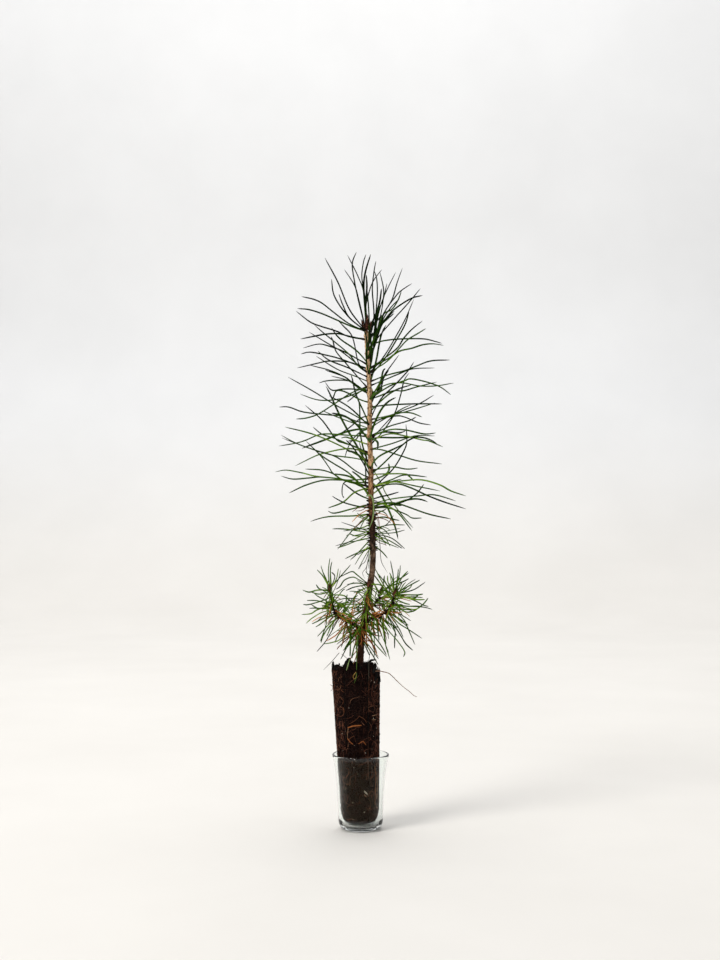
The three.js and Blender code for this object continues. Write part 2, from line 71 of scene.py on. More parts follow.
# Curled scraps on the front edge: half width, points (x, y, z).
CURLS = [
    (0.9, [(-21.6, -3, 127.5), (-21.9, -3, 130.5), (-22.3, -3, 133.8)]),
    (0.7, [(-19.6, -7, 127.5), (-18.2, -8, 130.0), (-17.0, -8, 132.4), (-17.6, -8, 133.0)]),
    (0.8, [(-20.6, -6, 127.0), (-20.2, -6, 129.6), (-19.2, -6, 131.2)]),
    (1.1, [(-12.6, -14, 128.5), (-12.3, -14, 131.8), (-11.0, -14, 135.6), (-9.4, -14, 137.4),
           (-8.3, -14, 136.4)]),
    (1.2, [(-10.6, -15, 128.0), (-11.0, -15, 131.8), (-9.8, -15, 134.8), (-8.0, -15, 135.6),
           (-7.4, -15, 133.4)]),
    (1.0, [(-7.2, -16, 128.0), (-7.9, -16, 131.0), (-8.6, -16, 133.4)]),
    (1.0, [(-5.6, -16, 128.0), (-5.2, -16, 131.6), (-4.2, -16, 134.6), (-3.0, -16, 134.9)]),
    (0.8, [(5.0, -15, 130.0), (6.0, -15, 134.0), (8.2, -15, 136.4), (10.6, -15, 136.9),
           (12.3, -15, 136.6)]),
    (0.9, [(10.0, -14, 126.5), (11.2, -14, 130.0), (11.6, -14, 132.6), (10.8, -14, 134.2)]),
    (0.8, [(12.0, -12, 121.0), (12.8, -12, 124.0), (12.2, -12, 127.0), (11.2, -12, 128.6)]),
    (0.7, [(14.2, -9, 117.0), (14.8, -9, 120.4), (13.8, -9, 123.0)]),
]
TRUNK = dict(
    foot=128.3, tip=398, foot_radius=2.45, tip_radius=1.65, flare=0.8, flare_height=12,
    sway=[-0.7, 1.2, 5.7, 9.6, 9.4, 8.35, 8.1, 7.15, 7.35, 6.0, 4.6],
    depth=[0, -0.3, 0, 0.5, 0.8, 0.6, 0, -0.4, -0.2, 0.3, 0.3],
)
TWIG_RADIUS = 1.15
BUD = dict(radius=1.5, length=6.6)
TUFT = dict(height=8, side=0.4, bud_height=12.5, bud_radius=1.6, seed=823)
GOLDEN = math.radians(137.507)
# How many there are of each small thing that is dealt out by chance.
COUNTS = dict(crumbs=3600, roots=2400, perlite=46, scraps=560, crust_grains=1100, spurs=92)
# Sides round a mesh, and rings along it where its length needs them.
GLASS_SIDES = 128
PLUG_MESH = dict(sides=320, end_rings=26, side_rings=236, top_rings=26)
TRUNK_MESH = dict(sides=56, rings=840)
BOUGH_MESH = dict(sides=20, rings=150)

# Rows of a shoot: share along, distance between bundles, angle from the shoot and its spread of
# chance, needle length, droop, opening of a bundle, share of bundles that have withered.
LEADER_ROWS = [
    (0.0, 2.2, 90, 20, 50, 0.14, 12, 0),
    (0.07, 2.6, 74, 30, 74, 0.18, 10, 0),
    (0.25, 2.7, 64, 36, 76, 0.17, 10, 0),
    (0.5, 2.7, 60, 32, 70, 0.17, 10, 0),
    (0.72, 2.6, 54, 28, 64, 0.16, 10, 0),
    (0.88, 2.2, 52, 26, 62, 0.16, 9, 0),
    (1.0, 1.6, 44, 22, 58, 0.12, 8, 0),
]
TUFT_ROWS = [
    (0.0, 0.95, 40, 14, 52, 0.1, 7, 0),
    (0.5, 0.95, 30, 14, 50, 0.06, 7, 0),
    (1.0, 1.0, 14, 12, 49, 0.02, 8, 0),
]
WHORL_ROWS = [
    (0.0, 1.3, 112, 22, 22, 0.14, 14, 0.22),
    (1.0, 1.7, 88, 24, 28, 0.14, 12, 0.22),
]
BOUGH_ROWS = [
    (0.0, 1.9, 92, 28, 21, 0.25, 12, 0.14),
    (0.5, 1.35, 86, 26, 25, 0.22, 12, 0.12),
    (0.85, 1.1, 62, 26, 25, 0.1, 12, 0.05),
    (1.0, 0.75, 28, 24, 23, 0.0, 13, 0),
]
FOOT_ROWS = [
    (0.0, 2.8, 142, 14, 24, 0.05, 10, 0.3),
    (1.0, 1.8, 122, 26, 28, 0.2, 11, 0.3),
]
ZONES = {
    "leader": ((250, 398), LEADER_ROWS, 1981),
    "whorl": ((224, 248), WHORL_ROWS, 337),
    "foot": ((142, 180), FOOT_ROWS, 1188),
}
BOUGHS = {
    "left": (895, [(1.5, 0, 158.5), (-5, -3, 163), (-13, -5, 167.5), (-20.5, -6.5, 174),
                   (-23, -7, 183), (-24.2, -7, 192)]),
    "right": (432, [(2.6, 0, 164), (9, -2.5, 168.5), (16.5, -4.5, 171.5), (22.5, -6, 176.5),
                    (25.5, -6.5, 183), (27, -6.5, 188)]),
    "front": (87, [(3.6, 0, 171), (4.8, -7, 177), (6, -9, 186), (6.4, -9, 196)]),
    "back": (80, [(4.5, 0, 173), (9, 7, 177), (14, 11, 182), (16.5, 13, 189)]),
}
# The photograph's viewpoint: level, in front of the plant.
EYE_DISTANCE = 1240
EYE_HEIGHT = 279
EYE_SIDE = -0.5
LENS = 58.1  # focal length for a 36 mm sensor
FOCAL_PIXELS = 1549  # the same in pixels of the photograph
PHOTO_MIDDLE = (360, 480)  # pixels

RIGHT, BACK, UP = np.eye(3)  # the row frame's axes, as the photograph shows them

# ---------------------------------------------------------------- numbers


def lerp(a, b, t):
    return a + (b - a) * t


def clamp(value, low, high):
    return min(max(value, low), high)


def unit(v):
    return v / math.sqrt(float(v @ v))


def full_turn(sides):
    return np.linspace(0, 2 * math.pi, sides, endpoint=False)


def square_to(axis, helper, spare, limit=0.8):
    """Two directions square to an axis: the first leans to helper, or to spare where axis does."""
    if abs(axis @ helper) >= limit:
        helper = spare
    across = unit(helper - axis * (helper @ axis))
    return across, np.cross(axis, across)


def seeded(seed):
    state = seed & 0xFFFFFFFF

    def chance():
        nonlocal state
        state = (state + 0x6D2B79F5) & 0xFFFFFFFF
        t = state
        t = ((t ^ (t >> 15)) * (t | 1)) & 0xFFFFFFFF
        t ^= (t + (((t ^ (t >> 7)) * (t | 61)) & 0xFFFFFFFF)) & 0xFFFFFFFF
        return ((t ^ (t >> 14)) & 0xFFFFFFFF) / 4294967296

    return chance


def lattice(i, j, k, seed):
    """A fixed chance value, -1 to 1, at each whole-numbered place."""
    h = (i * 374761393 + j * 668265263 + k * 2147483647 + seed * 1274126177) & 0xFFFFFFFF
    h = ((h ^ (h >> 13)) * 1274126177) & 0xFFFFFFFF
    return ((h ^ (h >> 16)) & 0xFFFF) / 32767.5 - 1


def grain(x, y, seed, z=0):
    """Smooth noise, -1 to 1, of numbers or of arrays of the same shape."""
    cells = [np.floor(a).astype(np.int64) for a in (x, y, z)]
    fades = [a - c for a, c in zip((x, y, z), cells)]
    fades = [f * f * (3 - 2 * f) for f in fades]
    total = 0
    for steps in itertools.product((0, 1), repeat=3):
        shares = [fade if step else 1 - fade for step, fade in zip(steps, fades)]
        corner = [cell + step for step, cell in zip(steps, cells)]
        total = total + shares[0] * shares[1] * shares[2] * lattice(*corner, seed)
    return total


# ---------------------------------------------------------------- paths


class Through:
    """A smooth path through points, as a function of a share from 0 to 1."""

    def __init__(self, points):
        p = [np.array(q, float) for q in points]
        self.points = [2 * p[0] - p[1], *p, 2 * p[-1] - p[-2]]
        self.stretches = len(p) - 1

    def __call__(self, share):
        x = clamp(share, 0, 1) * self.stretches
        i = min(int(x), self.stretches - 1)
        t = x - i
        a, b, c, d = self.points[i : i + 4]
        bend = (2 * a - 5 * b + 4 * c - d) * t + (-a + 3 * b - 3 * c + d) * t * t
        return 0.5 * (2 * b + (c - a) * t + bend * t)


def tangent(path, share):
    return unit(path(min(1, share + 0.01)) - path(max(0, share - 0.01)))


def length_of(path, steps=40):
    return sum(math.dist(path(i / steps), path((i + 1) / steps)) for i in range(steps))


def trunk_share(z):
    return (z - TRUNK["foot"]) / (TRUNK["tip"] - TRUNK["foot"])


def trunk_radius(z):
    flare = max(0, 1 - (z - TRUNK["foot"]) / TRUNK["flare_height"])
    return lerp(TRUNK["foot_radius"], TRUNK["tip_radius"], trunk_share(z)) + TRUNK["flare"] * flare**2


trunk_path = Through([
    (x, y, lerp(TRUNK["foot"], TRUNK["tip"], i / 10))
    for i, (x, y) in enumerate(zip(TRUNK["sway"], TRUNK["depth"]))
])
bough_paths = {name: Through(points) for name, (_, points) in BOUGHS.items()}


def along_trunk(low, high):
    """The trunk's path between two heights."""
    return lambda share: trunk_path(trunk_share(lerp(low, high, share)))


# ---------------------------------------------------------------- needle rule


def row_at(rows, share):
    i = 0
    while i < len(rows) - 2 and share > rows[i + 1][0]:
        i += 1
    t = clamp((share - rows[i][0]) / (rows[i + 1][0] - rows[i][0]), 0, 1)
    return [lerp(a, b, t) for a, b in zip(rows[i], rows[i + 1])]


def grow_bundles(path, rows, radius, seed):
    """The bundles of a shoot, with needles that run base + length * (direction * t + bend * t * t)."""
    chance = seeded(seed)
    total = length_of(path)
    bundles = []
    along = 0
    while along <= total:
        share = along / total
        _, spacing, angle, jitter, long, droop, opening, withering = row_at(rows, share)
        axis = tangent(path, share)
        across, aside = square_to(axis, UP, RIGHT, 0.9)
        turn = GOLDEN * len(bundles) + (chance() - 0.5) * 0.7
        out = across * math.cos(turn) + aside * math.sin(turn)
        side = np.cross(axis, out)
        tilt = math.radians(angle + (chance() + chance() - 1) * jitter)
        bundle_length = long * (0.8 + 0.4 * chance())
        sag = droop * (0.3 + 1.4 * chance())
        sweep = (chance() * 2 - 1) * 0.16
        count = 2 if chance() < 0.82 else 3
        twist = chance() * math.pi
        withered = chance() < withering
        base = path(share) + out * radius(share) * 0.8
        middle = axis * math.cos(tilt) + out * math.sin(tilt)
        over = np.cross(middle, side)
        needles = []
        for j in range(count):
            q = twist + 2 * math.pi * j / count
            apart = side * math.cos(q) + over * math.sin(q)
            opened = math.tan(math.radians(opening * (0.4 + chance())))
            direction = unit(middle + apart * opened)
            curl = (0.05 + 0.12 * chance()) * (1 if chance() < 0.75 else -1)
            bend = side * sweep - UP * sag + apart * curl * (2 if withered else 1)
            reach = bundle_length * (0.93 + 0.12 * chance())
            needles.append(dict(direction=direction, bend=bend, length=reach, apart=apart))
        bundles.append(dict(
            base=base, middle=middle, out=out, share=share, withered=withered, needles=needles,
        ))
        along += spacing * (0.8 + 0.4 * chance())
    return bundles


# ---------------------------------------------------------------- meshes


def add_object(name, data):
    thing = bpy.data.objects.new(name, data)
    bpy.context.scene.collection.objects.link(thing)
    return thing


def add_mesh(name, points, faces, material, smooth=True):
    mesh = bpy.data.meshes.new(name)
    mesh.from_pydata(points, [], faces)
    mesh.polygons.foreach_set("use_smooth", [smooth] * len(mesh.polygons))
    mesh.materials.append(material)
    return add_object(name, mesh)


class Pile:
    """The points and faces of one joined piece, in millimetres."""

    def __init__(self):
        self.points = []
        self.faces = []
        self.count = 0

    def add(self, points, faces=()):
        self.points.append(np.asarray(points, float).reshape(-1, 3))
        self.faces += [[i + self.count for i in face] for face in faces]
        self.count += len(self.points[-1])

    def grid(self, rings, under=None, over=None):
        """A skin over rings of points; under and over are points whose fans close its ends."""
        count, sides = rings.shape[:2]
        pairs = [(i, (i + 1) % sides) for i in range(sides)]
        start = self.count
        self.add(rings, [
            (r + i, r + j, r + sides + j, r + sides + i)
            for r in range(0, (count - 1) * sides, sides)
            for i, j in pairs
        ])
        end = self.count - sides
        if under is not None:
            self.faces += [[self.count, start + j, start + i] for i, j in pairs]
            self.add(under)
        if over is not None:
            self.faces += [[self.count, end + i, end + j] for i, j in pairs]
            self.add(over)

    def tube(self, centres, radii, sides=6, section=None, up=None):
        """A tube along centres. section gives (across, up) factors of the radius for each side."""
        centres = np.asarray(centres, float)
        if section is None:
            turns = [2 * math.pi * i / sides for i in range(sides)]
            section = [(math.cos(a), math.sin(a)) for a in turns]
        steps = np.gradient(centres, axis=0)
        steps /= np.linalg.norm(steps, axis=1)[:, None]
        if up is None:
            up = np.eye(3)[int(np.argmin(np.abs(steps[0])))]
        rings = []
        for centre, step, radius in zip(centres, steps, radii):
            up = unit(up - step * (up @ step))
            across = np.cross(up, step)
            rings.append([centre + radius * (a * across + b * up) for a, b in section])
        start = self.count
        self.grid(np.array(rings))
        ring = range(len(section))
        self.faces.append([start + i for i in reversed(ring)])
        self.faces.append([self.count - len(section) + i for i in ring])

    def chip(self, centre, size, chance):
        """An irregular eight-faced grain."""
        corners = []
        for axis in range(3):
            for sign in (1, -1):
                corner = np.array([(chance() - 0.5) * 0.7 for _ in range(3)])
                corner[axis] += sign * (0.7 + 0.6 * chance())
                corners.append(centre + corner * size)
        rims = [(0, 2), (2, 1), (1, 3), (3, 0)]
        faces = [(a, b, 4) for a, b in rims] + [(b, a, 5) for a, b in rims]
        self.add(corners, faces)

    def make(self, name, material, slot, replaced=(), smooth=True):
        points = (np.concatenate(self.points) * MM).tolist()
        piece = add_mesh(name, points, self.faces, material, smooth)
        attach(piece, "root")
        if replaced:
            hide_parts(*replaced)
        return piece


# ---------------------------------------------------------------- materials


class Paint:
    """A node material that is built up from one Principled shader."""

    def __init__(self, name, roughness=0.6, **sockets):
        self.material = bpy.data.materials.new(name)
        self.material.use_nodes = True
        self.nodes = self.material.node_tree.nodes
        self.links = self.material.node_tree.links
        self.shader = self.nodes["Principled BSDF"]
        self.shader.inputs["Roughness"].default_value = roughness
        for socket, value in sockets.items():
            self.shader.inputs[socket.replace("_", " ")].default_value = value
        self.place = self.nodes.new("ShaderNodeTexCoord").outputs["Object"]

    def texture(self, kind, stretch, **sockets):
        mapping = self.nodes.new("ShaderNodeMapping")
        mapping.inputs["Scale"].default_value = stretch
        self.links.new(self.place, mapping.inputs["Vector"])
        texture = self.nodes.new(f"ShaderNodeTex{kind}")
        for socket, value in sockets.items():
            texture.inputs[socket].default_value = value
        self.links.new(mapping.outputs["Vector"], texture.inputs["Vector"])
        return texture

    def noise(self, scale, detail=3.0, roughness=0.55, stretch=(1, 1, 1)):
        texture = self.texture("Noise", stretch, Scale=scale, Detail=detail, Roughness=roughness)
        return texture.outputs["Fac"]

    def cells(self, scale, stretch=(1, 1, 1)):
        texture = self.texture("Voronoi", stretch, Scale=scale)
        texture.feature = "DISTANCE_TO_EDGE"
        return texture.outputs["Distance"]

    def ramp(self, value, stops):
        """Colours by a value: stops are (place, (r, g, b))."""
        ramp = self.nodes.new("ShaderNodeValToRGB")
        elements = ramp.color_ramp.elements
        while len(elements) < len(stops):
            elements.new(1.0)
        for element, (place, colour) in zip(elements, stops):
            element.position = place
            element.color = (*colour, 1)
        self.links.new(value, ramp.inputs["Fac"])
        return ramp.outputs["Color"]

    def mix(self, share, a, b, mode="MIX"):
        """a and b are outputs or (r, g, b); share is an output or a number."""
        mix = self.nodes.new("ShaderNodeMix")
        mix.data_type = "RGBA"
        mix.blend_type = mode
        for socket, value in ((mix.inputs["Factor"], share), (mix.inputs[6], a), (mix.inputs[7], b)):
            if isinstance(value, bpy.types.NodeSocket):
                self.links.new(value, socket)
            else:
                socket.default_value = (*value, 1) if isinstance(value, tuple) else value
        return mix.outputs[2]

    def height(self, low, high):
        """0 to 1 between two heights in millimetres."""
        split = self.nodes.new("ShaderNodeSeparateXYZ")
        self.links.new(self.place, split.inputs["Vector"])
        span = self.nodes.new("ShaderNodeMapRange")
        span.inputs["From Min"].default_value = low * MM
        span.inputs["From Max"].default_value = high * MM
        self.links.new(split.outputs["Z"], span.inputs["Value"])
        return span.outputs["Result"]

    def colour(self, output):
        self.links.new(output, self.shader.inputs["Base Color"])
        return self

    def bump(self, height, distance, strength=1.0):
        """distance in millimetres."""
        bump = self.nodes.new("ShaderNodeBump")
        bump.inputs["Strength"].default_value = strength
        bump.inputs["Distance"].default_value = distance * MM
        self.links.new(height, bump.inputs["Height"])
        self.links.new(bump.outputs["Normal"], self.shader.inputs["Normal"])
        return self.material


class Tones:
    """Joined pieces of one kind that differ in tone, each from its dark and light colours."""

    def __init__(self, **colours):
        self.colours = colours
        self.piles = {tone: Pile() for tone in colours}

    def __getitem__(self, tone):
        return self.piles[tone]

    def make(self, kind, slot, *looks, smooth=True):
        for tone, (dark, light) in self.colours.items():
            name = f"{kind}_{tone}"
            self.piles[tone].make(name, shaded(name, dark, light, *looks), slot, smooth=smooth)


def mottled(name, roughness, specular, spots, stops, grit, depth):
    """A material whose colours run over stops by one noise, with a relief by another."""
    paint = Paint(name, roughness, Specular_IOR_Level=specular)
    paint.colour(paint.ramp(paint.noise(*spots), stops))
    return paint.bump(paint.noise(*grit), depth)


def shaded(name, dark, light, scale, roughness=0.6, relief=0.1, relief_scale=None):
    """A matt material that varies between two colours, with a fine relief."""
    grit = [relief_scale or scale * 3]
    return mottled(name, roughness, 0.15, [scale], [(0.35, dark), (0.65, light)], grit, relief)


def tinted(name, colour, roughness):
    """A needle's skin: one colour that varies a little, with a fine relief."""
    dark, light = (tuple(c * share for c in colour) for share in (0.82, 1.18))
    return mottled(name, roughness, 0.02, [90], [(0.35, dark), (0.65, light)], (1200, 2.0), 0.04)


def glass_paint(name, tint):
    paint = Paint(name, 0.01, Transmission_Weight=1.0, IOR=1.34, Specular_Tint=(*tint, 1))
    paint.colour(paint.ramp(paint.noise(8), [(0.3, (0.93, 0.965, 0.95)), (0.7, (0.955, 0.98, 0.965))]))
    return paint.bump(paint.noise(35, 1.0), 0.02, 0.25)


def bark_paint():
    paint = Paint("trunk_bark", 0.85, Specular_IOR_Level=0.15)
    by_height = paint.ramp(paint.height(TRUNK["foot"], TRUNK["tip"]), [
        (0.0, (0.075, 0.028, 0.015)),
        (0.13, (0.110, 0.045, 0.024)),
        (0.20, (0.190, 0.110, 0.070)),
        (0.25, (0.270, 0.168, 0.106)),
        (0.34, (0.250, 0.160, 0.108)),
        (0.385, (0.055, 0.027, 0.016)),
        (0.44, (0.095, 0.040, 0.021)),
        (0.50, (0.420, 0.195, 0.085)),
        (0.62, (0.840, 0.520, 0.280)),
        (1.0, (0.950, 0.660, 0.380)),
    ])
    noise = paint.noise(420, 4.0, 0.65, (1, 1, 0.45))
    patches = paint.ramp(noise, [(0.38, (0.2, 0.16, 0.13)), (0.58, (1, 1, 1))])
    cracks = paint.ramp(paint.cells(600, (1, 1, 0.5)), [(0.0, (0.35, 0.3, 0.27)), (0.12, (1, 1, 1))])
    patched = paint.mix(1.0, by_height, patches, "MULTIPLY")
    paint.colour(paint.mix(1.0, patched, cracks, "MULTIPLY"))
    return paint.bump(paint.noise(900, 4.0, 0.6, (1, 1, 0.5)), 0.25)


def peat_paint():
    paint = Paint("peat", 0.95, Specular_IOR_Level=0.04)
    soil = paint.ramp(paint.noise(760, 5.0, 0.7), [
        (0.36, (0.0014, 0.0006, 0.0006)),
        (0.50, (0.0050, 0.0022, 0.0021)),
        (0.62, (0.0190, 0.0076, 0.0060)),
        (0.74, (0.0620, 0.0270, 0.0190)),
    ])
    fibres = paint.ramp(paint.noise(700, 3.0, 0.6, (1, 1, 0.16)), [(0.56, (0, 0, 0)), (0.72, (1, 1, 1))])
    paint.colour(paint.mix(fibres, soil, (0.030, 0.012, 0.0075)))
    return paint.bump(paint.noise(1400, 5.0, 0.7), 0.5)


# ---------------------------------------------------------------- glass


def glass_wall(z):
    share = max(0, (z - GLASS["heel_height"]) / (GLASS["height"] - GLASS["heel_height"]))
    return GLASS["heel_radius"] + GLASS["flare"] * share + GLASS["lip_flare"] * share**4


def arc(radius, height, width, rise, start, end, steps):
    turns = [math.radians(lerp(start, end, i / steps)) for i in range(steps + 1)]
    return [(radius + width * math.cos(a), height + rise * math.sin(a)) for a in turns]


def make_glass():
    heel = GLASS["heel_radius"] - GLASS["foot_radius"]
    lip = GLASS["wall"] / 2
    lip_height = GLASS["height"] - lip
    inner_end = GLASS["floor"] + GLASS["fillet"]
    inner = glass_wall(inner_end) - GLASS["wall"]
    outside = [lerp(GLASS["heel_height"], lip_height, s / 24) for s in range(1, 24)]
    inside = [lerp(inner_end, lip_height, s / 24) for s in range(1, 24)]
    profile = [
        (0, 0.35),
        (GLASS["foot_radius"] - 3, 0.35),
        (GLASS["foot_radius"] - 1.2, 0),
        *arc(GLASS["foot_radius"], GLASS["heel_height"], heel, GLASS["heel_height"], -90, 0, 16),
        *[(glass_wall(z), z) for z in outside],
        *arc(glass_wall(lip_height) - lip, lip_height, lip, lip, 0, 180, 12),
        *[(glass_wall(z) - GLASS["wall"], z) for z in reversed(inside)],
        *arc(inner - GLASS["fillet"], inner_end, GLASS["fillet"], GLASS["fillet"], 0, -90, 16),
        (0, GLASS["floor"]),
    ]
    turns = full_turn(GLASS_SIDES)
    rings = np.array([
        np.stack([radius * np.cos(turns), radius * np.sin(turns), np.full(GLASS_SIDES, z)], 1)
        for radius, z in profile[1:-1]
    ])
    pile = Pile()
    pile.grid(rings, (0, 0, profile[0][1]), (0, 0, profile[-1][1]))
    # The wall mirrors little, as among the photograph's dim surroundings; rim and base sparkle.
    wall = glass_paint("clear_glass", (0.42, 0.32, 0.22))
    cup = pile.make("glass_body", wall, "clear_glass", ["glass_cup"])
    cup.data.materials.append(glass_paint("clear_glass_edge", (1, 1, 1)))
    rim_height = 2.4
    for face in cup.data.polygons:
        on_wall = inner_end < face.center[2] / MM < GLASS["height"] - rim_height
        face.material_index = 0 if on_wall else 1


# ---------------------------------------------------------------- root plug


def plug_place(direction, height, radius):
    """Row-frame points from a direction, a height along the plug and a distance from its axis."""
    x, y = radius * np.cos(direction), radius * np.sin(direction)
    lean = PLUG["lean"]
    return np.stack([
        PLUG["offset"] + x * math.cos(lean) - height * math.sin(lean),
        y * np.ones_like(height),
        PLUG["bottom"] + x * math.sin(lean) + height * math.cos(lean),
    ], -1)


PLUG_HEIGHT = PLUG["top"] - PLUG["bottom"]


def groove(direction):
    step = 2 * math.pi / PLUG["ribs"]
    off = direction - step * np.round(direction / step)
    return np.exp(-((off / math.radians(2.3)) ** 2))


def crust_height(direction):
    height = 0
    for middle, rise, width in CRUST:
        off = np.abs((direction - math.radians(middle) + math.pi) % (2 * math.pi) - math.pi)
        height = height + rise * np.exp(-((off / math.radians(width)) ** 2))
    return height


def ceiling(x, y):
    """How high the crust may stand at a place, by its skyline from the front."""
    depth = (EYE_DISTANCE + y) / EYE_DISTANCE
    sky = np.interp(x / depth, [a for a, _ in SKYLINE], [b for _, b in SKYLINE])
    return EYE_HEIGHT - (EYE_HEIGHT - sky) * depth


def plug_radius(direction, height):
    """The plug's own surface, without its fine grain."""
    share = np.interp(height, [h for _, h in PLUG_END], [s for s, _ in PLUG_END])
    radius = lerp(PLUG["bottom_radius"], PLUG["top_radius"], height / PLUG_HEIGHT)
    return share * (radius - PLUG["rib_depth"] * groove(direction))


def on_plug(direction, height, proud):
    """The place on the plug's surface, standing proud by a little."""
    return plug_place(direction, height, plug_radius(direction, height) + proud)


def plug_grain(direction, height):
    around = direction * 18
    lumps = 0.22 * grain(around / 5, height / 6, 1)
    crumbs = 0.35 * grain(around / 1.4, height / 1.6, 2)
    fine = 0.22 * grain(around / 0.6, height / 0.7, 3)
    fibres = 0.2 * grain(around / 0.7, height / 5, 4)
    return lumps + crumbs + fine + fibres


def plug_side(direction):
    """The rings of the round end and the ribbed side, which rises a little into the crust."""
    end = 9.5  # height of the end's rings, along the side
    rise = 14  # the crust starts this far below the top
    heights = np.concatenate([
        end * (1 - np.cos(np.linspace(0.12, math.pi / 2, PLUG_MESH["end_rings"]))),
        np.linspace(end, PLUG_HEIGHT, PLUG_MESH["side_rings"])[1:],
    ])
    turns, levels = np.meshgrid(direction, heights)
    lift = np.clip((levels - PLUG_HEIGHT + rise) / rise, 0, 1) ** 2 * crust_height(turns) * 0.5
    fade = np.clip(plug_radius(turns, levels) / 6, 0, 1)
    return plug_place(turns, levels + lift, plug_radius(turns, levels) + plug_grain(turns, levels) * fade)


def plug_top(direction, share):
    """One ring of the rough top, from the edge at share 0 to the level soil round the trunk at 1."""
    reach = lerp(PLUG["top_radius"], PLUG["land_radius"] - 2.5, share)
    hump = crust_height(direction) * np.interp(share, [0, 0.2, 0.45, 1], [0.5, 0.75, 0.35, 0])
    rough = 0.5 * grain(direction * reach / 2, share * 7, 5)
    rough += 0.5 * grain(direction * reach / 0.9, share * 15, 6)
    level = PLUG_HEIGHT + hump + rough * min(1, 2 - 2 * share) + 0.15
    row = plug_place(direction, level, reach - PLUG["rib_depth"] * groove(direction) * (1 - share))
    # At the front the crust stands up to the skyline, and nowhere over it.
    roof = ceiling(row[:, 0], row[:, 1]) - 1.0
    front = np.clip(-np.sin(direction) * 1.6, 0, 1)
    near = front * np.interp(share, [0, 0.12, 0.3, 0.5], [0.3, 0.75, 0.5, 0])
    row[:, 2] += near * np.maximum(0, roof - row[:, 2])
    if share < 0.7:
        row[:, 2] = np.minimum(row[:, 2], roof)
    return row


def make_plug():
    direction = full_turn(PLUG_MESH["sides"])
    top = [plug_top(direction, share) for share in np.linspace(0.04, 1, PLUG_MESH["top_rings"])]
    pile = Pile()
    pile.grid(np.concatenate([plug_side(direction), np.array(top)]), plug_place(0, 0, 0))
    pile.make("plug_body", peat_paint(), "peat", ["root_plug"])


def front_share(direction):
    """How much a direction on the plug lies on its dark middle panel, which faces the front."""
    off = np.abs((direction + math.pi / 2 + math.pi) % (2 * math.pi) - math.pi)
    return float(np.clip(1.35 - off / math.radians(34), 0, 1))


def make_crumbs():
    """Loose grains of peat that break the plug's outline."""
    chance = seeded(41)
    crumbs = Tones(
        dark=((0.0025, 0.0018, 0.0016), (0.0075, 0.0045, 0.0035)),
        brown=((0.018, 0.0075, 0.0048), (0.058, 0.023, 0.013)),
    )
    for _ in range(COUNTS["crumbs"]):
        direction = chance() * 2 * math.pi
        height = 2 + chance() * (PLUG_HEIGHT - 2)
        size = 0.16 + 0.5 * chance() ** 3
        centre = on_plug(direction, height, 0.15 + 0.1 * chance())
        tone = "brown" if chance() < 0.28 - 0.15 * front_share(direction) else "dark"
        crumbs[tone].chip(centre, size, chance)
    crumbs.make("plug_crumbs", "peat", 300, 0.9, smooth=False)


def make_root_web():
    """Fine roots that wander over the plug, denser on its side panels."""
    chance = seeded(52)
    roots = Tones(
        dark=((0.012, 0.0048, 0.0032), (0.030, 0.011, 0.0065)),
        red=((0.085, 0.028, 0.0160), (0.210, 0.076, 0.042)),
        tan=((0.170, 0.075, 0.042), (0.320, 0.155, 0.085)),
    )
    for _ in range(COUNTS["roots"]):
        direction = chance() * 2 * math.pi
        front = front_share(direction)
        if chance() < 0.6 * front:
            continue
        height = 6 + chance() * (PLUG_HEIGHT - 6)
        if height < GLASS["height"] - 6 and chance() < 0.6:
            continue
        heading = math.radians(90 if chance() < 0.45 else 360 * chance()) + (chance() - 0.5) * 1.2
        curl = (chance() - 0.5) * 0.5
        pick = chance()
        tone = "dark" if pick < 0.4 + 0.5 * front else "red" if pick < 0.94 else "tan"
        thick = 0.09 + 0.11 * chance()
        points = []
        for _ in range(6 + int(18 * chance() ** 2)):
            if not 3 < height < PLUG_HEIGHT + 0.5:
                break
            radius = plug_radius(direction, height)
            points.append(plug_place(direction, height, radius + (0.12 + 0.22 * chance())))
            heading += curl + (chance() - 0.5) * 0.9
            direction += math.cos(heading) * 0.9 / radius
            height += math.sin(heading) * 0.9
        if len(points) > 4:
            roots[tone].tube(points, thick * np.linspace(1, 0.5, len(points)), 4)
    roots.make("plug_roots", "peat", 150, 0.75, 0.05)
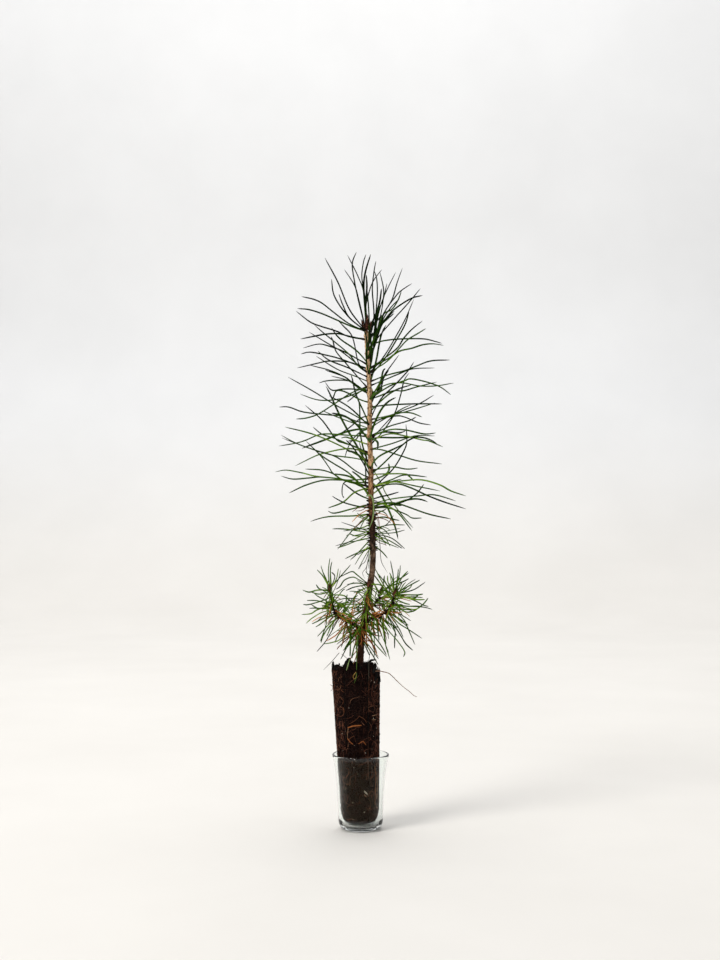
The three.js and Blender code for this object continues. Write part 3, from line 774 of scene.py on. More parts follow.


# Thick roots and loops that stand out on the plug's front: (x, z) points, tone and thickness.
# The two dark ones are painted shade: near-black strands laid down the front's two grooves.
MARKS = [
    # painted shade: near-black strands down the two grooves on the front, where shade falls
    ("dark", 0.32, [(5.6, 126.0), (5.9, 100.0), (6.4, 70.0), (6.8, 30.0)]),
    ("dark", 0.32, [(-13.3, 126.0), (-12.4, 100.0), (-11.3, 70.0)]),
    ("tan", 0.3, [(2.8, 30.6), (4.4, 28.4)]),
    ("tan", 0.3, [(12.6, 47.0), (12.9, 36.0), (12.5, 25.0)]),
    ("orange", 0.2, [(11.2, 52.0), (11.6, 40.0), (11.0, 22.0)]),
    ("orange", 0.55, [(-10.0, 83.4), (-5.5, 84.9), (0.6, 85.4)]),
    ("tan", 0.26, [(-9.8, 82.9), (-10.4, 77.5), (-10.4, 74.6)]),
    ("orange", 0.34, [(-10.4, 74.8), (-8.4, 72.2), (-6.0, 70.3)]),
    ("orange", 0.34, [(-1.6, 70.8), (1.4, 72.6), (2.4, 72.2), (4.1, 69.8)]),
    ("red", 0.24, [(-13.8, 99.4), (-13.0, 96.0), (-14.4, 92.4), (-17.6, 91.8), (-18.3, 93.6)]),
    ("red", 0.2, [(-17.8, 97.4), (-16.2, 99.2), (-14.0, 98.2), (-13.6, 95.4)]),
    ("red", 0.22, [(-1.5, 93.0), (2.5, 90.5), (4.8, 87.5)]),
    ("red", 0.2, [(-5.4, 77.0), (-8.6, 74.6), (-8.9, 71.8)]),
    ("red", 0.2, [(-8.8, 86.5), (-4.4, 89.4), (-1.0, 92.6)]),
    ("red", 0.16, [(6.6, 124.0), (6.4, 108.0), (6.2, 92.0)]),
    ("red", 0.16, [(6.2, 88.0), (6.0, 74.0), (5.8, 60.0), (5.8, 44.0)]),
    ("red", 0.22, [(10.4, 72.0), (12.5, 69.4), (13.6, 66.2)]),
    ("tan", 0.34, [(9.2, 92.3), (12.2, 92.6)]),
    ("tan", 0.34, [(8.8, 89.3), (12.0, 88.8)]),
    ("red", 0.18, [(-16.5, 116.0), (-15.0, 112.5), (-12.6, 111.0)]),
    ("red", 0.18, [(-17.4, 110.0), (-15.6, 106.4), (-13.4, 104.0), (-15.2, 100.6)]),
    ("red", 0.18, [(11.4, 112.0), (13.2, 107.0), (11.6, 102.0)]),
]
# Pale grains of perlite on the front: (x, z, size).
FLECKS = [
    (3.9, 63.5, 0.85), (10.0, 90.2, 0.6), (-9.0, 99.0, 0.55), (3.4, 42.2, 0.6),
    (3.0, 16.4, 0.75), (-6.4, 24.0, 0.6), (-2.1, 47.0, 0.45), (10.1, 76.0, 0.5),
    (-14.6, 78.0, 0.5), (-14.0, 64.5, 0.5), (1.0, 66.0, 0.4), (-4.6, 58.0, 0.4),
    (12.4, 82.0, 0.45), (8.9, 66.0, 0.4), (-11.6, 34.0, 0.45), (-7.8, 112.0, 0.35),
]
# A pale flake of bark that shows through the glass: its ends, and half its width along it.
FLAKE = np.array([(2.6, 33.6), (5.4, 30.2)])
FLAKE_WIDTHS = [0.25, 0.5, 0.55, 0.55, 0.45, 0.25]


def on_front(x, z, proud):
    """The point on the plug's front that has this x and z, standing proud by a little."""
    height = z - PLUG["bottom"]
    offset = x - PLUG["offset"] + height * math.sin(PLUG["lean"])
    direction = -math.pi / 2
    for _ in range(6):
        radius = float(plug_radius(direction, height)) + proud
        direction = -math.acos(clamp(offset / radius, -0.98, 0.98))
    return np.array([x, radius * math.sin(direction), z])


def make_marks():
    marks = Tones(
        orange=((0.230, 0.065, 0.016), (0.420, 0.145, 0.040)),
        red=((0.085, 0.028, 0.012), (0.170, 0.062, 0.026)),
        tan=((0.200, 0.105, 0.052), (0.330, 0.190, 0.105)),
        # dark: near-black, used only for the painted groove shade in MARKS
        dark=((0.0012, 0.0007, 0.0006), (0.0030, 0.0016, 0.0012)),
    )
    steps = 18
    for tone, thick, points in MARKS:
        route = Through([(x, 0, z) for x, z in points])
        centres, widths = [], []
        for i in range(steps + 1):
            spot = route(i / steps)
            centres.append(on_front(spot[0], spot[2], 0.25 + 0.1 * math.sin(i * 1.7)))
            widths.append(thick * (0.7 + 0.3 * math.sin(math.pi * (0.1 + 0.8 * i / steps))))
        marks[tone].tube(centres, widths)
    marks.make("plug_marks", "peat", 260)


def make_perlite():
    """The pale flake, and pale grains in the peat."""
    chance = seeded(63)
    grains = Pile()
    flake = [on_front(*lerp(*FLAKE, share), 0.6) for share in np.linspace(0, 1, len(FLAKE_WIDTHS))]
    grains.tube(flake, FLAKE_WIDTHS, section=[(1, 0.3), (-1, 0.3), (-1, -0.3), (1, -0.3)])
    for x, z, size in FLECKS:
        grains.chip(on_front(x, z, 0.2), size * 0.75, chance)
    for _ in range(COUNTS["perlite"]):
        direction = chance() * 2 * math.pi
        centre = on_plug(direction, 4 + chance() * (PLUG_HEIGHT - 6), 0.2)
        grains.chip(centre, 0.2 + 0.4 * chance() ** 2, chance)
    pale = shaded("perlite", (0.30, 0.26, 0.20), (0.62, 0.56, 0.46), 500, 0.85)
    grains.make("plug_perlite", pale, "peat", smooth=False)


def scrap_section(chance):
    """A thin, uneven section for a curled scrap."""
    flat = 0.25 + 0.3 * chance()
    return [(1, 0), (0.3, flat), (-0.6, flat * 0.8), (-1, 0), (-0.2, -flat), (0.6, -flat * 0.7)]


def add_curls(pile, chance):
    """The large scraps of CURLS, each of four ragged layers."""
    steps = 9
    for half, points in CURLS:
        for _ in range(4):
            route = Through([np.array(point) + (chance() - 0.5) * 0.9 for point in points])
            shares = [i / steps for i in range(steps + 1)]
            widths = [half * (0.7 + 0.7 * chance()) * (1 - 0.7 * share**2) for share in shares]
            spots = [route(share) for share in shares]
            pile.tube(spots, widths, section=scrap_section(chance), up=BACK)


def add_scrap(pile, chance):
    """A small scrap that stands up from the edge, as far as there is room under the skyline."""
    direction = chance() * 2 * math.pi
    reach = PLUG["top_radius"] - 0.6 - 4.2 * chance() ** 1.5
    crust = float(crust_height(direction))
    height = PLUG_HEIGHT + max(0.4, crust) * (0.05 + 0.35 * chance()) + min(0, crust)
    foot = plug_place(direction, height, reach)
    room = ceiling(foot[0], foot[1]) - foot[2]
    if room < 0.5:
        return
    outward = np.array([math.cos(direction), math.sin(direction), 0])
    along = np.array([-outward[1], outward[0], 0])
    lean = outward * (chance() - 0.6) * 0.8 + along * (chance() - 0.5) * 1.5
    heading = unit(lean + UP * (0.5 + 0.8 * chance()))
    long = min(room * 0.9, 0.6 + 5.0 * chance() ** 1.4)
    curl = (along * (chance() - 0.5) + outward * (chance() - 0.4)) * 1.3
    width = 0.35 + 0.75 * chance()
    points, radii = [], []
    for t in [i / 6 for i in range(7)]:
        points.append(foot + heading * long * t + curl * long * 0.45 * t * t)
        radii.append(width * (1 - 0.75 * t) * (0.55 + 0.8 * chance()))
    pile.tube(points, radii, section=scrap_section(chance), up=outward)


def add_crust_grain(pile, chance):
    """A grain on the top, which keeps under the skyline too."""
    direction = chance() * 2 * math.pi
    inward = chance() ** 1.3
    reach = lerp(PLUG["top_radius"] - 0.1, PLUG["land_radius"], inward)
    rise = float(crust_height(direction)) * np.interp(inward, [0, 0.2, 0.45, 1], [0.5, 0.8, 0.35, 0])
    spot = plug_place(direction, PLUG_HEIGHT + rise + 0.4 * chance(), reach)
    size = 0.3 + 0.8 * chance() ** 2
    spot[2] = min(spot[2], ceiling(spot[0], spot[1]) - size)
    pile.chip(spot, size, chance)


def make_crust():
    """Black scraps and grains of moss and bark round the plug's top edge."""
    chance = seeded(74)
    pile = Pile()
    add_curls(pile, chance)
    for _ in range(COUNTS["scraps"]):
        add_scrap(pile, chance)
    for _ in range(COUNTS["crust_grains"]):
        add_crust_grain(pile, chance)
    paint = shaded("crust", (0.0018, 0.0015, 0.0014), (0.0065, 0.0048, 0.0040), 350, 0.85, 0.3, 900)
    pile.make("plug_crust", paint, "peat", smooth=False)


# ---------------------------------------------------------------- wood


def add_bundle_scar(radius, bundle, levels, directions, tall, base):
    """Raises radius by a knob under a bundle and by the ridge that runs down from it."""
    level = bundle["base"][2]
    near = np.abs(levels - level + 3) < 8
    facing = directions[near] @ unit(bundle["out"])
    off = np.arccos(np.clip(facing, -1, 1)) * base[near]
    drop = level - tall[near]
    knob = 0.55 * np.exp(-((drop / 1.1) ** 2) - (off / 0.8) ** 2)
    ridge = 0.28 * np.exp(-((off / 0.6) ** 2)) * np.clip(1 - drop / 7, 0, 1) * (drop > 0)
    radius[near] += knob + ridge


def make_trunk(bundles):
    shares = np.linspace(0, 1, TRUNK_MESH["rings"])
    levels = lerp(TRUNK["foot"], TRUNK["tip"], shares)
    centres = np.array([trunk_path(s) for s in shares])
    steps = np.array([tangent(trunk_path, s) for s in shares])
    across = BACK - steps * (steps @ BACK)[:, None]
    across /= np.linalg.norm(across, axis=1)[:, None]
    aside = np.cross(steps, across)
    turns = full_turn(TRUNK_MESH["sides"])[None, :]
    base = np.array([trunk_radius(z) for z in levels])[:, None]
    around = turns * base
    tall = levels[:, None] + 0 * around
    # old bark is scaly, this year's is nearly smooth
    old = np.interp(tall, [225, 262, 300], [1, 0.45, 0.2])
    scaly = 0.26 * np.abs(grain(around / 1.3, tall / 2.6, 11))
    scaly += 0.14 * grain(around / 0.6, tall / 1.1, 12)
    radius = base + old * scaly + 0.05 * grain(around / 0.8, tall / 4, 13)
    lobes = np.clip(1 - (tall - TRUNK["foot"]) / 14, 0, 1) ** 2
    radius = radius + 0.3 * lobes * (1 + np.cos(3 * turns + 0.6))
    directions = aside[:, None, :] * np.sin(turns)[:, :, None]
    directions = directions + across[:, None, :] * np.cos(turns)[:, :, None]
    for bundle in bundles:
        add_bundle_scar(radius, bundle, levels, directions, tall, base)
    points = centres[:, None, :] + directions * radius[:, :, None]
    pile = Pile()
    pile.grid(points, centres[0], centres[-1] + steps[-1] * 0.6)
    pile.make("trunk_bark", bark_paint(), "bark", ["trunk"])


def bough_paint():
    stops = [(0.35, (0.014, 0.0075, 0.005)), (0.52, (0.050, 0.022, 0.012)), (0.7, (0.130, 0.056, 0.026))]
    return mottled("twig_bark", 0.85, 0.15, (450, 4.0, 0.65), stops, (1000, 4.0), 0.2)


def make_boughs():
    pile = Pile()
    turns = full_turn(BOUGH_MESH["sides"])
    for name, (seed, _) in BOUGHS.items():
        path = bough_paths[name]
        rings = []
        for i in range(BOUGH_MESH["rings"]):
            share = i / (BOUGH_MESH["rings"] - 1)
            across, aside = square_to(tangent(path, share), BACK, RIGHT)
            rough = 0.22 * grain(turns * 1.6, share * 22, 21, seed)
            rough = rough + 0.12 * grain(turns * 3, share * 60, 22, seed)
            spokes = np.cos(turns)[:, None] * across + np.sin(turns)[:, None] * aside
            rings.append(path(share) + spokes * (lerp(1.0, 0.5, share) + rough)[:, None])
        pile.grid(np.array(rings))
    pile.make("bough_wood", bough_paint(), "twig_bark", [f"bough_{name}" for name in BOUGHS])


def add_bud(pile, foot, axis, length, radius, scales, seed):
    """A pointed bud of overlapping scales."""
    chance = seeded(seed)
    axis = unit(np.array(axis, float))
    across, aside = square_to(axis, RIGHT, BACK)

    def girth(share):
        return radius * math.sin(math.pi * min(1, 0.18 + 0.82 * share) ** 0.8) ** 0.75 * 0.86

    levels = [i / 12 for i in range(13)]
    pile.tube([foot + axis * length * s for s in levels], [max(0.03, girth(s)) for s in levels], 10)
    for i in range(scales):
        share = 0.02 + 0.82 * i / scales
        turn = GOLDEN * i + (chance() - 0.5) * 0.4
        out = across * math.cos(turn) + aside * math.sin(turn)
        wide = np.cross(axis, out)
        root = foot + axis * length * share + out * girth(share) * 0.85
        end = share + 0.26 + 0.08 * chance()
        tip = foot + axis * length * end + out * (girth(min(0.98, end)) + 0.18 + 0.25 * chance())
        middle = (root + tip) / 2 + out * 0.28
        half = radius * 0.36
        pile.add(
            [root - wide * half * 0.7, root + wide * half * 0.7, middle + wide * half, tip,
             middle - wide * half, middle + out * 0.16, root + out * 0.2],
            [(0, 4, 5, 6), (6, 5, 2, 1), (4, 3, 5), (5, 3, 2), (1, 2, 3, 4, 0)],
        )


def bud_paint():
    stops = [(0.32, (0.010, 0.0040, 0.003)), (0.5, (0.060, 0.018, 0.009)), (0.68, (0.230, 0.085, 0.042))]
    return mottled("bud_scales", 0.7, 0.15, (700, 3.0), stops, [1500], 0.1)


def make_buds():
    pile = Pile()
    for i, path in enumerate(bough_paths.values()):
        heading = tangent(path, 1)
        foot = path(1) - heading * 1.8 - BACK * 1.8
        add_bud(pile, foot, heading, BUD["length"], BUD["radius"], 34, 80 + i)
    top = trunk_path(1)
    add_bud(pile, top, (0.05, 0, 1), TUFT["bud_height"], TUFT["bud_radius"], 56, 90)
    for i, (side, lean) in enumerate(((-1.7, -0.25), (1.8, 0.3), (0.3, 0.05))):
        foot = top + np.array([side, -0.6 + 0.9 * i, 1.0])
        add_bud(pile, foot, (lean, 0.1 * i - 0.1, 1), 8.5 - i, 0.95, 26, 91 + i)
    pile.make("buds", bud_paint(), "twig_bark")


# ---------------------------------------------------------------- needles
# Greens run from light at a needle's foot to dark at its point.
GREENS = [
    (0.270, 0.395, 0.055),
    (0.135, 0.250, 0.018),
    (0.054, 0.132, 0.0065),
    (0.026, 0.073, 0.0034),
    (0.0115, 0.036, 0.0024),
    (0.0058, 0.0190, 0.0020),
    (0.0024, 0.0066, 0.0013),
]
WITHERED = [
    (0.660, 0.280, 0.075),
    (0.480, 0.170, 0.042),
    (0.170, 0.048, 0.016),
]
# Tones under 0 in SEEN: withered, and the darkest of the withered ones.
WITHER = -1
BROWN = -2
# Where a needle's tone changes, as shares of its length and their spread by chance, and how much
# deeper each stretch is than the foot.
TONE_ENDS = [(0.12, 0.1), (0.34, 0.14), (0.62, 0.1), (0.84, 0.08)]
TONE_DEPTHS = [0, 0.5, 1.1, 1.9, 2.8]
NEEDLE_HALF = 0.8  # half a needle's width
NEEDLE_STEPS = 21  # points along a needle that grows by the rule
SHEATH_WIDTHS = [1.1, 1.05, 0.98, 0.92, 0.88, 0.62]
# A needle's section: flat towards the rest of its bundle, round outside.
NEEDLE_SECTION = [(1, -0.35), (0.95, 0.2), (0.5, 0.72), (-0.5, 0.72), (-0.95, 0.2), (-1, -0.35)]


def needle_width(t):
    return np.interp(t, [0, 0.08, 0.3, 0.78, 0.95, 1], [0.62, 0.85, 1, 0.95, 0.68, 0.14])


class Needles:
    """Needles and their sheaths, joined by tone."""

    def __init__(self):
        self.green = [Pile() for _ in GREENS]
        self.withered = [Pile() for _ in WITHERED]
        self.sheaths = Pile()

    def needle(self, points, half, up, chance, tone, withered, darken=1):
        """One needle. A green one darkens from tone, a place in GREENS, by darken * TONE_DEPTHS."""
        steps = len(points)
        widths = half * needle_width(np.linspace(0, 1, steps))
        if withered:
            pile = self.withered[-1 if tone < WITHER else int(chance() * len(WITHERED))]
            pile.tube(points, widths * 0.8, section=NEEDLE_SECTION, up=up)
            return
        cuts = [0, *(end + spread * chance() for end, spread in TONE_ENDS), 1]
        cuts = [round(cut * (steps - 1)) for cut in cuts]
        for start, end, deeper in zip(cuts, cuts[1:], TONE_DEPTHS):
            pile = self.green[clamp(round(tone + darken * deeper), 0, len(GREENS) - 1)]
            part = slice(start, end + 1)
            pile.tube(points[part], widths[part], section=NEEDLE_SECTION, up=up)

    def bundle(self, bundle, chance, sheath, width, tone):
        """A bundle's needles, a little wavy, with the sheath that holds their feet."""
        tone = tone + 1.2 * chance()
        t = np.linspace(0, 1, NEEDLE_STEPS)[:, None]
        for needle in bundle["needles"]:
            length, direction, apart = needle["length"], needle["direction"], needle["apart"]
            side = unit(np.cross(direction, apart))
            wave = (chance() - 0.5) * 0.13 * length
            turn = (chance() - 0.5) * 0.13 * length
            phase = chance() * 2
            points = bundle["base"] + length * (direction * t + needle["bend"] * t * t)
            points = points + side * wave * np.sin(math.pi * (1.7 * t + phase)) * t
            points = points + apart * turn * np.sin(math.pi * (1.3 * t + 2 * phase)) * t
            points = points + apart * 0.3 * (1 - t) ** 3
            half = NEEDLE_HALF * width * (0.85 + 0.3 * chance())
            self.needle(points, half, apart, chance, tone, bundle["withered"])
        middle = bundle["middle"]
        start = bundle["base"] - middle * 0.6
        long = sheath * (0.8 + 0.4 * chance()) + 0.6
        self.sheaths.tube([start + middle * long * i / 5 for i in range(6)], SHEATH_WIDTHS, 7)

    def make(self, nodes):
        for i, (pile, colour) in enumerate(zip(self.green, GREENS)):
            paint = tinted(f"needle_green_{i}", colour, 0.5)
            pile.make(f"needles_green_{i}", paint, "needles", nodes if i == 0 else ())
        for i, (pile, colour) in enumerate(zip(self.withered, WITHERED)):
            paint = tinted(f"needle_withered_{i}", colour, 0.65)
            pile.make(f"needles_withered_{i}", paint, "needles")
        paint = shaded("sheath", (0.004, 0.003, 0.002), (0.026, 0.013, 0.007), 260, 0.75, 0.15, 900)
        self.sheaths.make("needle_sheaths", paint, "twig_bark")


# Finer growth among the main bundles: rows for the boughs, their hanging sides and the old whorl.
INNER_ROWS = [
    (0.0, 4.0, 84, 40, 12, 0.5, 20, 0.2),
    (1.0, 3.0, 60, 40, 13, 0.4, 20, 0.05),
]
CURLY_ROWS = [
    (0.0, 1.1, 96, 40, 8.5, 0.7, 26, 1),
    (0.5, 2.0, 88, 40, 8.0, 0.7, 26, 1),
    (1.0, 7.0, 88, 40, 8.0, 0.7, 26, 1),
]
OLD_WHORL_ROWS = [
    (0.0, 2.0, 118, 26, 16, 0.25, 14, 0.35),
    (1.0, 1.5, 84, 26, 21, 0.16, 14, 0.35),
]


def undergrowth():
    bundles = []
    for name in ("left", "right"):
        for step, rows in ((1, INNER_ROWS), (2, CURLY_ROWS)):
            seed = BOUGHS[name][0] + 3000 * step
            bundles += grow_bundles(bough_paths[name], rows, lambda share: TWIG_RADIUS, seed)
    for low, high, rows, seed in ((226, 262, OLD_WHORL_ROWS, 61), (150, 182, CURLY_ROWS, 62)):
        bundles += grow_bundles(along_trunk(low, high), rows, lambda share: 2.3, seed)
    return bundles


# Needles that stand out one by one in the photograph, by the shoot that they grow from. A needle
# has its tone at the foot and then, from foot to point, across and down in pixels of the
# 720 x 960 photograph.
TUFT_NEEDLES = [
    (4, 364, 333, 350, 310, 338, 282, 325, 258), (4, 364, 333, 349, 317, 335, 297, 331.5, 279),
    (3, 364, 332, 350, 318, 343.5, 306, 339, 294),
    (5, 363, 330, 360, 306, 355, 283, 352.5, 264, 356.5, 252),
    (4, 362, 327, 359, 300, 354.5, 285, 344.5, 269.5), (3, 365.5, 322, 364, 294, 358, 276, 347.5, 255),
    (5, 366, 322, 363.5, 291, 362, 276, 363.5, 263, 366, 254.5),
    (5, 366, 326, 366, 308, 369, 293, 373.5, 281, 382, 269.5),
    (4, 370, 360, 373, 342, 376, 314, 377.5, 294, 377, 280, 374.5, 271),
    (5, 372, 350, 374, 320, 372.5, 290, 374, 273, 376, 261),
    (4, 371, 362, 376, 335, 381.5, 312, 383.5, 298, 383.5, 288, 380, 272),
    (2, 371, 372, 373.5, 350, 376.5, 318, 383.5, 299, 387, 283.5),
    (3, 371.5, 368, 374.5, 345, 377, 322, 382, 302, 389, 286, 396, 272),
    (5, 371, 365, 375, 345, 379, 326, 383.5, 314, 392.5, 299, 397, 283.5, 402.5, 268),
    (4, 372, 366, 377, 340, 384, 314, 395, 297.5, 401, 291, 412, 283.5),
    (1, 373, 358, 377, 334, 383.5, 315, 392, 309.5, 398, 300.5, 401.5, 291),
    (3, 371.5, 362, 376, 342, 382, 325, 391, 312.5, 402, 304, 412.5, 298, 422.5, 295.5),
    (4, 373, 352, 379.5, 336, 395, 318, 409, 302.5, 420.5, 288.5),
    (3, 371, 375, 379, 363, 387, 352, 395.5, 337.5, 405, 320, 414, 299),
    (2, 372.5, 376, 384, 360, 396, 341, 405, 325, 409, 312),
    (2, 372, 369, 384.5, 358.5, 397.5, 348, 404, 338, 413, 328.5, 422.5, 321),
    (1, 374, 374, 387, 361.5, 399, 349, 407.5, 340, 419, 333, 426, 328.5),
    (2, 372, 346, 377.5, 342.5, 390, 340, 404, 339, 423, 339, 433, 341, 442, 343.5),
    (1, 373, 371, 388.5, 358.5, 399, 351.5, 411.5, 348.5, 422.5, 345, 433, 344, 443.5, 345.5),
    (3, 364.5, 332, 349, 323.5, 333.5, 312, 322, 303, 313, 299, 301.5, 296.5),
    (2, 364.5, 333, 352, 326.5, 336, 319.5, 322, 313.5, 309, 309.5, 297.5, 308.5),
    (4, 364.5, 338, 349, 336.5, 336.5, 331, 322, 326.5, 310.5, 322, 296, 311),
    (3, 364.5, 339, 349, 336, 338, 333.5, 326, 334, 315, 336, 300.5, 339),
    (4, 363, 372, 359, 364, 354.5, 343.5, 351, 334, 343.5, 326, 337.5, 319.5),
    (2, 366, 375, 359, 366.5, 349, 354, 335, 342, 325, 334, 314.5, 325),
    (3, 364.5, 389, 355, 373.5, 345, 362, 336, 351, 333, 340.5, 331, 336.5),
]
LEADER_NEEDLES = [
    (3, 364, 374, 355, 362, 341, 351, 329, 344, 309, 332),
    (3, 364, 371, 341, 359, 326, 355, 310, 352, 301, 354), (3, 366, 376, 349, 368, 329, 360, 318, 351),
    (3, 364, 366, 345, 352, 329, 346, 318, 344, 303, 348), (2, 364, 381, 355, 376, 337, 369, 316, 356),
    (3, 365, 370, 349, 362, 329, 361, 318, 363, 297, 368),
    (2, 366, 392, 360, 389, 345, 377, 329, 370, 309, 365),
    (2, 367, 395, 360, 389, 351, 382, 344, 379, 331, 376),
    (2, 367, 393, 358, 386, 350, 381, 337, 380, 325, 381, 319, 383),
    (3, 367, 393, 352, 382, 343, 376, 325, 370), (2, 367, 392, 354, 389, 343, 389, 332, 390, 325, 382),
    (1, 367, 405, 359, 399, 352, 395, 343, 391, 336, 391, 333, 399),
    (1, 367, 388, 361, 391, 354, 394, 339, 399, 319, 400, 300, 394),
    (1, 367, 385, 351, 393, 334, 404, 318, 414, 306, 418, 296, 419),
    (4, 367, 389, 361, 391, 352, 398, 347, 402), (2, 367, 423, 356, 416, 334, 404, 313, 391, 288, 377),
    (2, 367, 423, 356, 421, 343, 416, 331, 415, 304, 412, 289, 407, 279, 407),
    (3, 367, 415, 361, 418, 350, 427, 341, 433), (0, 367, 446, 358, 441, 352, 439, 346, 437, 341, 438),
    (2, 367, 436, 362, 433, 359, 435, 355, 440, 348, 441),
    (2, 368, 454, 354, 446, 344, 443, 336, 439, 322, 420, 305, 405),
    (1, 368, 455, 346, 443, 334, 438, 322, 434, 313, 427),
    (0, 368, 464, 352, 452, 339, 445, 321, 437, 306, 432, 285, 427),
    (1, 367, 438, 346, 435, 322, 434, 306, 440, 296, 443, 279, 446),
    (1, 368, 462, 354, 458, 332, 455, 312, 449, 296, 443, 281, 435),
    (2, 368, 479, 356, 471, 343, 461, 332, 455, 312, 449, 282, 438),
    (1, 368, 494, 362, 486, 349, 473, 333, 463, 321, 455, 306, 441),
    (1, 368, 488, 346, 481, 334, 474, 329, 467, 321, 456, 306, 441),
    (0, 368, 454, 354, 449, 343, 449, 328, 452, 315, 456, 295, 466),
    (1, 368, 483, 346, 481, 334, 474, 322, 470, 305, 469),
    (0, 368, 479, 349, 480, 335, 478, 315, 476, 303, 473, 286, 470, 275, 472),
    (1, 368, 486, 346, 480, 322, 477, 308, 478, 293, 479, 281, 476),
    (1, 368, 478, 349, 480, 325, 480, 306, 485, 289, 493),
    (2, 368, 491, 358, 485, 349, 481, 343, 484, 342, 494, 344, 498),
    (0, 368, 487, 355, 492, 343, 502, 328, 508), (1, 368, 505, 351, 509, 340, 512, 333, 513, 328, 511),
    (2, 368, 509, 357, 506, 343, 502, 332, 496), (2, 367, 496, 366, 485, 366, 475, 365, 463, 359, 441),
    (3, 369, 477, 364, 464, 353, 447, 346, 440), (2, 368, 501, 358, 494, 343, 483),
    (2, 371, 380, 388, 375, 404, 371, 417, 366, 431, 361, 450, 360),
    (2, 371, 386, 387, 379, 399, 374, 413, 369, 435, 368),
    (4, 371, 398, 381, 387, 384, 376, 391, 366, 399, 355), (4, 371, 406, 376, 394, 384, 378, 389, 370),
    (4, 371, 418, 381, 399, 394, 386, 408, 371, 414, 362),
    (1, 371, 400, 377, 397, 393, 391, 403, 391, 417, 387, 437, 382),
    (1, 371, 395, 386, 385, 402, 383, 419, 386, 436, 386, 454, 383),
    (1, 371, 397, 390, 386, 404, 381, 411, 379, 426, 382, 440, 387, 451, 395),
    (3, 371, 439, 388, 421, 395, 413, 401, 394, 404, 381, 409, 373),
    (2, 372, 407, 390, 405, 415, 404, 442, 404), (2, 371, 427, 388, 417, 402, 411, 419, 404, 434, 395),
    (1, 371, 420, 388, 416, 405, 412, 419, 408, 435, 403),
    (1, 372, 421, 388, 416, 399, 413, 411, 413, 422, 417),
    (2, 371, 422, 384, 418, 396, 416, 404, 417, 419, 423, 431, 425),
    (2, 371, 437, 388, 427, 405, 422, 411, 420, 416, 417),
    (1, 371, 436, 389, 430, 405, 430, 424, 434, 436, 433),
    (0, 371, 441, 389, 434, 405, 436, 422, 440, 429, 441, 443, 447),
    (1, 371, 446, 381, 434, 389, 423, 396, 413, 404, 408, 411, 405),
    (3, 371, 492, 381, 481, 394, 468, 404, 451, 407, 441, 406, 424),
    (1, 371, 449, 380, 447, 394, 443, 415, 436, 435, 436), (2, 371, 474, 382, 465, 405, 443, 418, 436),
    (1, 371, 450, 382, 450, 401, 456, 418, 461, 442, 464),
    (1, 371, 472, 386, 468, 394, 467, 405, 469, 412, 469, 418, 468),
    (0, 371, 476, 385, 474, 404, 474, 409, 476, 414, 481),
    (0, 371, 487, 382, 484, 402, 481, 422, 480, 440, 485, 451, 491, 466, 496),
    (0, 371, 488, 385, 483, 396, 482, 415, 486, 440, 491),
    (2, 371, 488, 396, 484, 411, 488, 426, 495, 444, 502, 466, 509),
    (1, 371, 486, 391, 480, 405, 475, 427, 477), (0, 371, 468, 381, 483, 386, 494, 401, 514, 413, 528),
    (0, 371, 495, 381, 488, 391, 482, 402, 479), (1, 371, 502, 392, 499, 418, 496, 435, 495, 456, 501),
    (3, 371, 500, 380, 497, 389, 495, 399, 492), (3, 371, 509, 400, 503, 415, 495, 424, 484),
    (0, 371, 506, 380, 504, 388, 506, 399, 514, 412, 531),
    (1, 371, 505, 385, 503, 399, 504, 428, 514, 451, 519),
    (1, 371, 509, 388, 508, 405, 514, 412, 518, 422, 518),
]
WHORL_NEEDLES = [
    (BROWN, 370, 503, 361, 506, 352, 512), (WITHER, 370, 508, 360, 514, 352, 522),
    (BROWN, 369, 514, 363, 519, 353, 530), (BROWN, 376, 505, 377, 514, 379, 522, 380, 530),
    (WITHER, 377, 513, 385, 515, 392, 521, 396, 525), (BROWN, 376, 516, 384, 519, 391, 523),
    (BROWN, 369, 506, 362, 510, 355, 511), (BROWN, 375, 512, 377.5, 520, 378, 527),
    (1, 368, 536, 359, 540, 346, 545, 337, 548), (2, 368, 537, 356, 541, 349, 542, 335, 546),
    (1, 368, 533, 357, 536, 350, 534, 346, 536), (3, 367, 546, 357, 555), (2, 369, 530, 359, 529, 343, 531),
    (3, 369, 532, 365, 530, 356, 527, 341, 522), (1, 369, 521, 363, 517, 357, 513),
    (1, 375, 538, 386, 543, 399, 548), (1, 376, 534, 384, 541, 390, 545), (2, 376, 529, 389, 525, 405, 525),
    (2, 376, 535, 392, 533, 405, 530), (3, 378, 534, 391, 538, 405, 549), (3, 378, 530, 386, 525, 394, 515),
    (1, 369, 528, 361, 534, 352, 536), (2, 375, 525, 383, 529, 390, 536),
]
